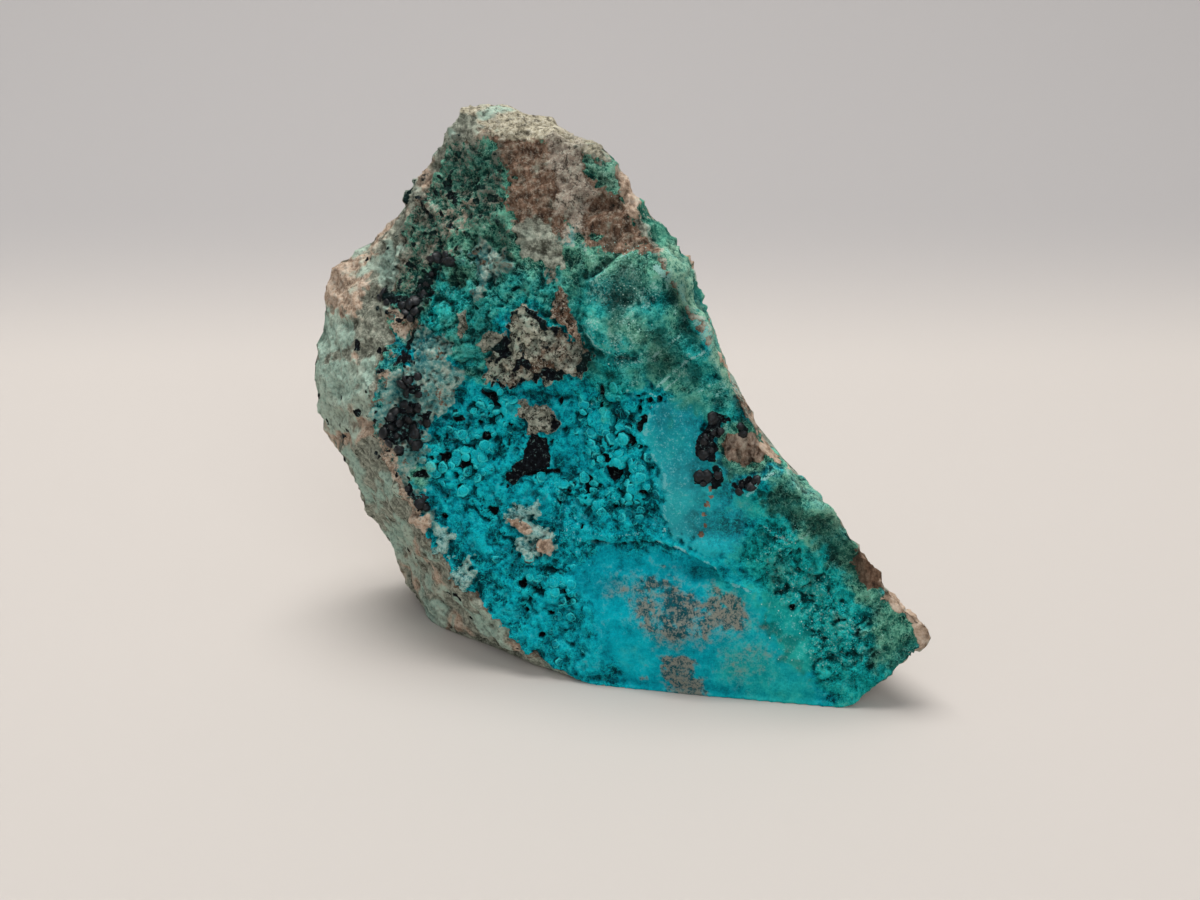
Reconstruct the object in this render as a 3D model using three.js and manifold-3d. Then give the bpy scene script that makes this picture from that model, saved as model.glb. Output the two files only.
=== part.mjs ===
// A chrysocolla hand specimen: one broken lump of copper-stained rock, standing on its flat broken base.
// Millimetres, +Z up, mineralised face towards -Y, origin at the middle of the base of its bounding box.
//
// The lump is one closed skin, stretched over three outlines that run round it, one behind the other:
//   faceRim   the edge of the mineralised front face
//   girdle    the widest outline, a little way behind the face
//   backRim   the edge of the broken back
// The face and the back are closed by relief surfaces, and everything is cut off flat at the base.
import * as THREE from "three";
import { mergeVertices } from "three/addons/utils/BufferGeometryUtils.js";
import Module from "manifold-3d";

// Driving dimensions.
const WIDTH = 109; // left shoulder to right tip
const HEIGHT = 93.5; // base to peak
const DEPTH = 60.5; // front heel to the back
const BASE_LEVEL = 0; // height of the flat the lump stands on

// The outlines are drawn at this size, and the finished lump is brought to the driving dimensions.
const HEART = new THREE.Vector2(0, 38); // x, z of the line that every outline turns round
const ROUND = 144; // points in each outline, a multiple of 16

// Corner points of the face's edge, x and z, anticlockwise from the front heel.
const FACE_RIM = [
  [39, -1], [43, 1], [46, 4], [49, 6], [50, 9], [53.5, 11], [55.5, 13.5], [54, 16], // heel to right tip
  [50.5, 18], [47.5, 21], [46.5, 24], [43.5, 26.5], [41, 30], [38, 33.5], [33, 36.5], [28, 41.5], // shoulder
  [23, 51], [19.5, 57.5], [15, 63], [13.5, 67.5], [9, 73.5], [6.5, 79], [1.5, 86], [-3, 88], // right flank
  [-7.5, 90], [-14.5, 89.5], [-19.5, 89.5], [-22.5, 91.5], // peak
  [-26.5, 87.5], [-30.5, 82.5], [-33, 77], [-35.5, 63.5], [-37.5, 55], [-39.5, 46.5], [-39.5, 40], // left
  [-37, 34], [-34.5, 29], [-30.5, 23], [-27, 18.5], [-21, 12], [-16.5, 8], // lower left edge
  [-11, 2.8], [-7, 1.3], [0, -0.5], [8.5, -1], [27, -1], // foot
];

// Corner points of the widest outline, x, y and z, the same way round.
const GIRDLE = [
  [38, -13, -2], [45, -15, 1.5], [49, -16, 4.5], [51, -16.5, 8], [54.5, -17, 10], [56, -17, 12.5], // tip
  [53.8, -16, 16], [50.2, -15, 18], [47.6, -14, 21.2], [46.6, -14, 24.2], [43.7, -13, 26.3], // notched edge
  [41.1, -12, 30], [38.3, -11, 34], [34.1, -8, 36.3], [30.4, -4, 38.8], [27.3, 0, 42], [25, 1, 47],
  [22, 3, 52.5], [19, 5, 58.7], [16.5, 8, 65.5], [15.8, 10, 69.5], [14.3, 12, 72.5], // right flank
  [12, 13, 74.8], [8.3, 15, 77], [5.6, 17, 81], [2.4, 18, 85], [-1, 20, 87.6], [-3.8, 22, 87.6],
  [-8, 24, 90.7], [-13.8, 25, 92.3], [-16.6, 26, 93.6], [-19.8, 26, 93.2], [-23.5, 26, 92.4], // peak
  [-26, 26, 87.9], [-29.2, 26, 83.2], [-32.6, 26, 79.2], [-35.7, 26.5, 73.8], [-38, 27, 71.6], // left flank
  [-43.3, 28, 66.8], [-45.8, 28, 65.8], [-48.4, 28, 65], [-49.6, 27, 61.4], [-50.4, 26, 55.3],
  [-52.6, 25, 49.3], [-52.9, 24, 42.1], // left shoulder
  [-52.2, 24, 34], [-48.8, 22, 27.8], [-44.2, 20, 19], [-40.3, 19, 13], [-38, 18, 7.3], // left bulge
  [-35.6, 14, 2.6], [-32, 10.5, -0.5], [-27, 7, -1.5], [-12, 0, -2], [10, -6, -2], // foot
];

// Corner points of the back's edge, x and z.
const BACK_RIM = [
  [33, -2], [41, 5], [40, 13], [32, 22], [24, 32], [18, 43], [12, 54], [5, 65], // right
  [-4, 74], [-12, 79], [-20, 78], [-27, 73], [-36, 65], [-43, 56], [-46, 44], // top and left
  [-43, 31], [-37, 17], [-30, 5], [-24, -2], // lower left
];

// Relief of the mineralised face: how far back, in y, the face lies at x, z.
const FACE_LEAN = 0.24; // the face leans back, mm per mm of height
const FACE_TURN = -0.18; // and its right side comes forward, mm per mm of width
function faceDepth(x, z) {
  const crown = 0.22 * above(z - 66, 3); // the brown crown leans back further
  const cheek = 0.3 * above(ridge(z) - x, 5) * step(z, 50, 66); // green facet turned to the left
  const hollow = 3 * bump(x, z, -15, 42, 17, 15); // the sunk botryoidal pocket
  const knob = -2.4 * bump(x, z, 7, 64, 11, 9); // green knob under the crown
  const shoulder = -2 * bump(x, z, 31, 33, 10, 7); // lump on the right shoulder
  const apron = -2.6 * bump(x, z, 14, 10, 24, 8); // the foot of the face swells forward
  const dish = 1.6 * bump(x, z, 38, 16, 9, 7);
  return -12 + FACE_TURN * x + FACE_LEAN * z + crown + cheek + hollow + knob + shoulder + apron + dish;
}

// The crest between the green cheek and the brown crown runs down and to the right.
const ridge = (z) => -16 - 0.1 * (90 - z);

// Relief of the broken back.
function backDepth(x, z) {
  const keel = -0.28 * Math.abs(x + 10); // two large breaks meet at an upright keel
  const taper = -0.38 * Math.max(0, x - 8); // the lump thins towards its tip
  const crown = -0.3 * Math.max(0, z - 55);
  const scoop = -5 * bump(x, z, 6, 26, 18, 14);
  const boss = 2.5 * bump(x, z, -24, 44, 12, 12);
  return 41 + keel + taper + crown + scoop + boss;
}

// 0 well below zero, the value itself well above, and rounded over `bend` between them.
function above(value, bend) {
  return (value + Math.hypot(value, bend)) / 2;
}

// 0 below from, 1 above to, and smooth between them.
function step(value, from, to) {
  const t = THREE.MathUtils.clamp((value - from) / (to - from), 0, 1);
  return t * t * (3 - 2 * t);
}

// A round swelling of height 1 at cx, cz.
function bump(x, z, cx, cz, rx, rz) {
  return Math.exp(-(((x - cx) / rx) ** 2) - ((z - cz) / rz) ** 2);
}

// Repeatable noise from 0 to 1 at the corners of a unit grid, and smooth between them.
function hash(i, j, k) {
  const s = Math.sin(i * 127.1 + j * 311.7 + k * 74.7) * 43758.5453;
  return s - Math.floor(s);
}

function noise(p, scale) {
  const q = p.clone().divideScalar(scale);
  const cell = q.clone().floor();
  const f = q.sub(cell);
  const w = [f.x, f.y, f.z].map((t) => t * t * (3 - 2 * t));
  let sum = 0;
  for (let corner = 0; corner < 8; corner++) {
    const [a, b, c] = [corner & 1, (corner >> 1) & 1, (corner >> 2) & 1];
    const share = (a ? w[0] : 1 - w[0]) * (b ? w[1] : 1 - w[1]) * (c ? w[2] : 1 - w[2]);
    sum += share * hash(cell.x + a, cell.y + b, cell.z + c);
  }
  return sum;
}

// Broken rock: flats that meet in creases, from noise folded at its middle, between -1 and 1.
const BREAK_SIZE = 24;
function breakage(p) {
  return 1 - 4 * Math.abs(noise(p, BREAK_SIZE) - 0.5);
}

// Splits the sides of a closed outline, the longest first, until it has `count` points.
function divide(corners, count) {
  const sides = corners.map((a, i) => {
    const b = corners[(i + 1) % corners.length];
    return { a, b, length: Math.hypot(b[0] - a[0], b[1] - a[1]), parts: 1 };
  });
  for (let points = sides.length; points < count; points++) {
    const longest = sides.reduce((best, s) => (s.length / s.parts > best.length / best.parts ? s : best));
    longest.parts++;
  }
  return sides.flatMap(({ a, b, parts }) =>
    Array.from({ length: parts }, (_, i) => {
      const t = i / parts;
      return new THREE.Vector2(a[0] + t * (b[0] - a[0]), a[1] + t * (b[1] - a[1]));
    }),
  );
}

// Where the half line from the heart at `angle` crosses a closed outline of points at (x, y, z).
function crossing(outline, angle) {
  const [ux, uz] = [Math.cos(angle), Math.sin(angle)];
  let best = null;
  outline.forEach((a, i) => {
    const b = outline[(i + 1) % outline.length];
    const [ax, az] = [a.x - HEART.x, a.z - HEART.y];
    const [dx, dz] = [b.x - a.x, b.z - a.z];
    const cross = ux * dz - uz * dx;
    if (Math.abs(cross) < 1e-9) return;
    const t = (uz * ax - ux * az) / cross; // along the side
    const r = (ax * dz - az * dx) / cross; // along the half line
    if (t < -1e-9 || t > 1 + 1e-9 || r <= 0) return;
    if (!best || r > best.r) best = { r, point: a.clone().lerp(b, t) };
  });
  return best.point;
}

const withDepth = (depth) => ([x, z]) => new THREE.Vector3(x, depth(x, z), z);

// The three outlines, each with the same number of points at the same angles.
const faceRim = divide(FACE_RIM, ROUND).map((p) => withDepth(faceDepth)([p.x, p.y]));
const angles = faceRim.map((p) => Math.atan2(p.z - HEART.y, p.x - HEART.x));
const girdleCorners = GIRDLE.map(([x, y, z]) => new THREE.Vector3(x, y, z));
const girdle = angles.map((angle) => crossing(girdleCorners, angle));
const backCorners = BACK_RIM.map(withDepth(backDepth));
const backRim = angles.map((angle) => crossing(backCorners, angle));

// Rows of points between two outlines, roughened in the middle and swollen outwards by `swell`.
function flank(from, to, rows, swell, rough) {
  return Array.from({ length: rows - 1 }, (_, row) => {
    const t = (row + 1) / rows;
    const middle = Math.sin(Math.PI * t);
    return from.map((a, i) => {
      const p = a.clone().lerp(to[i], t);
      const out = new THREE.Vector3(p.x - HEART.x, 0, p.z - HEART.y).normalize();
      return p.addScaledVector(out, middle * swell + Math.sqrt(middle) * rough * breakage(p));
    });
  });
}

// Rings that close an outline towards the heart over a relief surface. `plan` lists how far out
// each ring lies, as a share of the outline, and how many of the outline's points it skips.
function cap(rim, plan, depth, rough) {
  return plan.map(({ share, every }) =>
    rim.filter((_, i) => i % every === 0).map((p) => inward(p, share, depth, rough)),
  );
}

// The point of a relief surface at a share of the way from the heart to an outline's point,
// roughened away from the edge.
function inward(p, share, depth, rough) {
  const [x, z] = [HEART.x + share * (p.x - HEART.x), HEART.y + share * (p.z - HEART.y)];
  const point = new THREE.Vector3(x, depth(x, z), z);
  point.y += rough * Math.sqrt(1 - share) * breakage(point);
  return point;
}

const rings = (shares, every) => shares.map((share) => ({ share, every }));
const FACE_PLAN = [
  ...rings([0.955, 0.905, 0.85, 0.79, 0.73, 0.67], 1),
  ...rings([0.6, 0.52, 0.44, 0.36], 2),
  ...rings([0.28, 0.2], 4),
  ...rings([0.12], 8),
];
const BACK_PLAN = [
  ...rings([0.93, 0.86, 0.78], 1),
  ...rings([0.7, 0.61, 0.52, 0.43], 2),
  ...rings([0.34, 0.24], 4),
  ...rings([0.12], 8),
];

const FACE_ROUGH = -0.5;
const BACK_ROUGH = 1.6;
const faceRings = cap(faceRim, FACE_PLAN, faceDepth, FACE_ROUGH);
const backRings = cap(backRim, BACK_PLAN, backDepth, BACK_ROUGH);
const skin = [
  ...faceRings.reverse(),
  faceRim,
  ...flank(faceRim, girdle, 4, 0.6, 0.6),
  girdle,
  ...flank(girdle, backRim, 6, 1, 1.5),
  backRim,
  ...backRings,
];

// One closed skin: a fan in the middle of the face, bands between the rings, and a fan in the
// middle of the back.
function stretch(ringsOfPoints, front, back) {
  const points = [front, ...ringsOfPoints.flat(), back];
  const triangles = [];
  const starts = [];
  ringsOfPoints.reduce((start, ring) => (starts.push(start), start + ring.length), 1);

  const fan = (tip, start, count, outwards) => {
    for (let i = 0; i < count; i++) {
      const [a, b] = [start + i, start + ((i + 1) % count)];
      triangles.push(...(outwards ? [tip, a, b] : [tip, b, a]));
    }
  };
  // A band from an inner ring to an outer one, which has as many points or twice as many.
  const band = (inner, innerCount, outer, outerCount, flip) => {
    const put = (a, b, c) => triangles.push(...(flip ? [a, c, b] : [a, b, c]));
    const ratio = outerCount / innerCount;
    for (let i = 0; i < innerCount; i++) {
      const [a, b] = [inner + i, inner + ((i + 1) % innerCount)];
      const at = (n) => outer + ((i * ratio + n) % outerCount);
      put(a, at(0), at(1));
      if (ratio === 2) put(a, at(1), b);
      put(ratio === 2 ? b : a, at(1), ratio === 2 ? at(2) : b);
    }
  };

  fan(0, starts[0], ringsOfPoints[0].length, true);
  for (let i = 0; i + 1 < ringsOfPoints.length; i++) {
    const [n, m] = [ringsOfPoints[i].length, ringsOfPoints[i + 1].length];
    if (n <= m) band(starts[i], n, starts[i + 1], m, false);
    else band(starts[i + 1], m, starts[i], n, true);
  }
  fan(points.length - 1, starts.at(-1), ringsOfPoints.at(-1).length, false);

  const geometry = new THREE.BufferGeometry();
  geometry.setAttribute("position", new THREE.Float32BufferAttribute(points.flatMap((p) => p.toArray()), 3));
  geometry.setIndex(triangles);
  return geometry;
}

const faceHeart = inward(faceRim[0], 0, faceDepth, FACE_ROUGH);
const backHeart = inward(backRim[0], 0, backDepth, BACK_ROUGH);
const lump = stretch(skin, faceHeart, backHeart);

// Flat breaks on the back and the flanks: each takes off the outermost `takes` mm of the lump,
// looking along `facing`.
const BREAKS = [
  { facing: [-0.4, 0.91, -0.1], takes: 4 }, // left of the keel
  { facing: [0.35, 0.93, 0.1], takes: 4.5 }, // right of the keel
  { facing: [-0.05, 0.97, 0.22], takes: 3.5 }, // behind the crown
  { facing: [0.1, 0.8, -0.6], takes: 5 }, // heel
  { facing: [-0.6, 0.6, -0.55], takes: 4.5 }, // under the left bulge
  { facing: [0.62, 0.74, 0.26], takes: 3.5 }, // behind the right flank
  { facing: [0.78, 0.62, -0.05], takes: 4.5 }, // behind the tip
  { facing: [-0.75, 0.65, -0.12], takes: 1.5 }, // left side
];

const UP = new THREE.Vector3(0, 0, 1);

const wasm = await Module();
wasm.setup();

function solidOf(geometry) {
  const bare = new THREE.BufferGeometry();
  bare.setAttribute("position", geometry.getAttribute("position").clone());
  bare.setIndex(geometry.getIndex().clone());
  const merged = mergeVertices(bare, 1e-4);
  const vertProperties = new Float32Array(merged.getAttribute("position").array);
  const triVerts = new Uint32Array(merged.getIndex().array);
  return new wasm.Manifold(new wasm.Mesh({ numProp: 3, vertProperties, triVerts }));
}

function geometryOf(solid) {
  const mesh = solid.getMesh();
  const geometry = new THREE.BufferGeometry();
  geometry.setAttribute("position", new THREE.BufferAttribute(new Float32Array(mesh.vertProperties), 3));
  geometry.setIndex(new THREE.BufferAttribute(new Uint32Array(mesh.triVerts), 1));
  return geometry;
}

// How far the lump reaches along a direction.
function reachOf(points, facing) {
  return Math.max(...points.map((p) => p.dot(facing)));
}

// A block that fills the far side of the plane across `facing`, at `distance` along it.
function beyond(facing, distance) {
  const side = 3 * WIDTH;
  const block = new THREE.BoxGeometry(side, side, side).translate(0, 0, side / 2 + distance);
  return solidOf(block.applyQuaternion(new THREE.Quaternion().setFromUnitVectors(UP, facing)));
}

const skinPoints = skin.flat();
const broken = BREAKS.reduce((solid, { facing, takes }) => {
  const way = new THREE.Vector3(...facing).normalize();
  return solid.subtract(beyond(way, reachOf(skinPoints, way) - takes));
}, solidOf(lump));
const seated = broken.subtract(beyond(UP.clone().negate(), -BASE_LEVEL));

// A break that grazes an edge leaves a loose sliver, so only the largest piece is kept.
const [largest] = seated.decompose().sort((a, b) => b.volume() - a.volume());
const geometry = geometryOf(largest);

// Brought to size, with its bounding box over the origin.
geometry.computeBoundingBox();
const box = geometry.boundingBox;
const drawn = box.getSize(new THREE.Vector3());
const middle = box.getCenter(new THREE.Vector3());
geometry.translate(-middle.x, -middle.y, -box.min.z);
geometry.scale(WIDTH / drawn.x, DEPTH / drawn.y, HEIGHT / drawn.z);
geometry.computeVertexNormals();

const stone = new THREE.MeshStandardMaterial({
  color: 0x1f8f8f,
  roughness: 0.75,
  metalness: 0,
  flatShading: true,
});
const specimen = new THREE.Mesh(geometry, stone);
specimen.name = "chrysocolla_specimen";

const group = new THREE.Group();
group.add(specimen);
export default group;
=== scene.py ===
import math

import bpy
import numpy as np
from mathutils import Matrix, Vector


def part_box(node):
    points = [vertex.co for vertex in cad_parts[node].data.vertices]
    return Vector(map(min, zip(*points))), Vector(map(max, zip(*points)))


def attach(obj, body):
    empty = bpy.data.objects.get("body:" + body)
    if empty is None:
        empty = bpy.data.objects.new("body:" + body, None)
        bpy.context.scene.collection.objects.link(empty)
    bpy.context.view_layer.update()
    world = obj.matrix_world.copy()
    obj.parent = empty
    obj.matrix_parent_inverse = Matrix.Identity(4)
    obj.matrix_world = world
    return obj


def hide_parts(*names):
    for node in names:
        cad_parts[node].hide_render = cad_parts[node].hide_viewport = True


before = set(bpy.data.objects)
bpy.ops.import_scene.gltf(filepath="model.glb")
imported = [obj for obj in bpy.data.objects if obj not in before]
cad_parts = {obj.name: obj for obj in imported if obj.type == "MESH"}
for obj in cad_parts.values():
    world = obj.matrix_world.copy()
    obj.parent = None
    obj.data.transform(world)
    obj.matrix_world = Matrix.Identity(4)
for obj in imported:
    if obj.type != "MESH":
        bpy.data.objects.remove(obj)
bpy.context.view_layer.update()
low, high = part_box("chrysocolla_specimen")
span = high - low
print("frame loaded, specimen", [round(1000 * v, 1) for v in span], "mm")

scene = bpy.context.scene
mm = 0.001


# noise in numpy, for the shape of the rock
def cellNumber(cell, seed):  # one repeatable whole number for each cell of a grid
    c = cell.astype(np.uint32)
    n = c[:, 0] * np.uint32(73856093) ^ c[:, 1] * np.uint32(19349663) ^ c[:, 2] * np.uint32(83492791)
    n = (n ^ np.uint32(seed * 2654435 + 97)) * np.uint32(2246822519)
    n = (n ^ (n >> np.uint32(15))) * np.uint32(3266489917)
    return n ^ (n >> np.uint32(13))


def share(number, salt):  # 0 to 1 from a whole number
    n = (number + np.uint32(salt * 7919 + 13)) * np.uint32(2654435769)
    n = (n ^ (n >> np.uint32(16))) * np.uint32(2246822519)
    return ((n ^ (n >> np.uint32(15))) & np.uint32(0xFFFFFF)).astype(np.float32) / 16777215.0


slopeTable = np.random.default_rng(11).normal(size=(4096, 3)).astype(np.float32)
slopeTable /= np.linalg.norm(slopeTable, axis=1)[:, None]


def waves(points, size, seed):  # smooth noise, about -1 to 1, with lumps of that size in mm
    q = points / size + seed * 3.17
    cell = np.floor(q).astype(np.int64)
    f = (q - cell).astype(np.float32)
    w = f * f * f * (f * (f * 6 - 15) + 10)
    total = np.zeros(len(points), np.float32)
    for corner in range(8):
        c = np.array([corner & 1, corner >> 1 & 1, corner >> 2 & 1])
        slope = slopeTable[cellNumber(cell + c, seed) & 4095]
        part = np.where(c, w, 1 - w).prod(1)
        total += part * ((f - c) * slope).sum(1)
    return total * 1.6


def ramp(value, start, end):  # 0 before start, 1 after end, smooth between
    t = np.clip((value - start) / (end - start), 0, 1)
    return t * t * (3 - 2 * t)


def domes(points, normals, size, seed, small=0.34, large=0.68, skip=0.0):
    # how high the round tops of balls scattered through space stand over the surface, in mm
    cell = np.floor(points / size).astype(np.int64)
    best = np.full(len(points), -9.0, np.float32)
    for step in np.ndindex(3, 3, 3):
        at = cell + (np.array(step) - 1)
        number = cellNumber(at, seed)
        middle = (at + np.stack([share(number, s) for s in (1, 2, 3)], 1)) * size
        radius = size * (small + (large - small) * share(number, 4))
        toward = middle - points
        rise = (toward * normals).sum(1)
        flat = radius ** 2 - (toward ** 2).sum(1) + rise ** 2
        crest = np.clip(rise, -0.9 * radius, 0.25 * radius) + np.sqrt(np.maximum(flat, 0))
        top = np.where(flat > 0, crest, -9)
        best = np.maximum(best, np.where(share(number, 5) < skip, -9, top))
    return best


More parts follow.
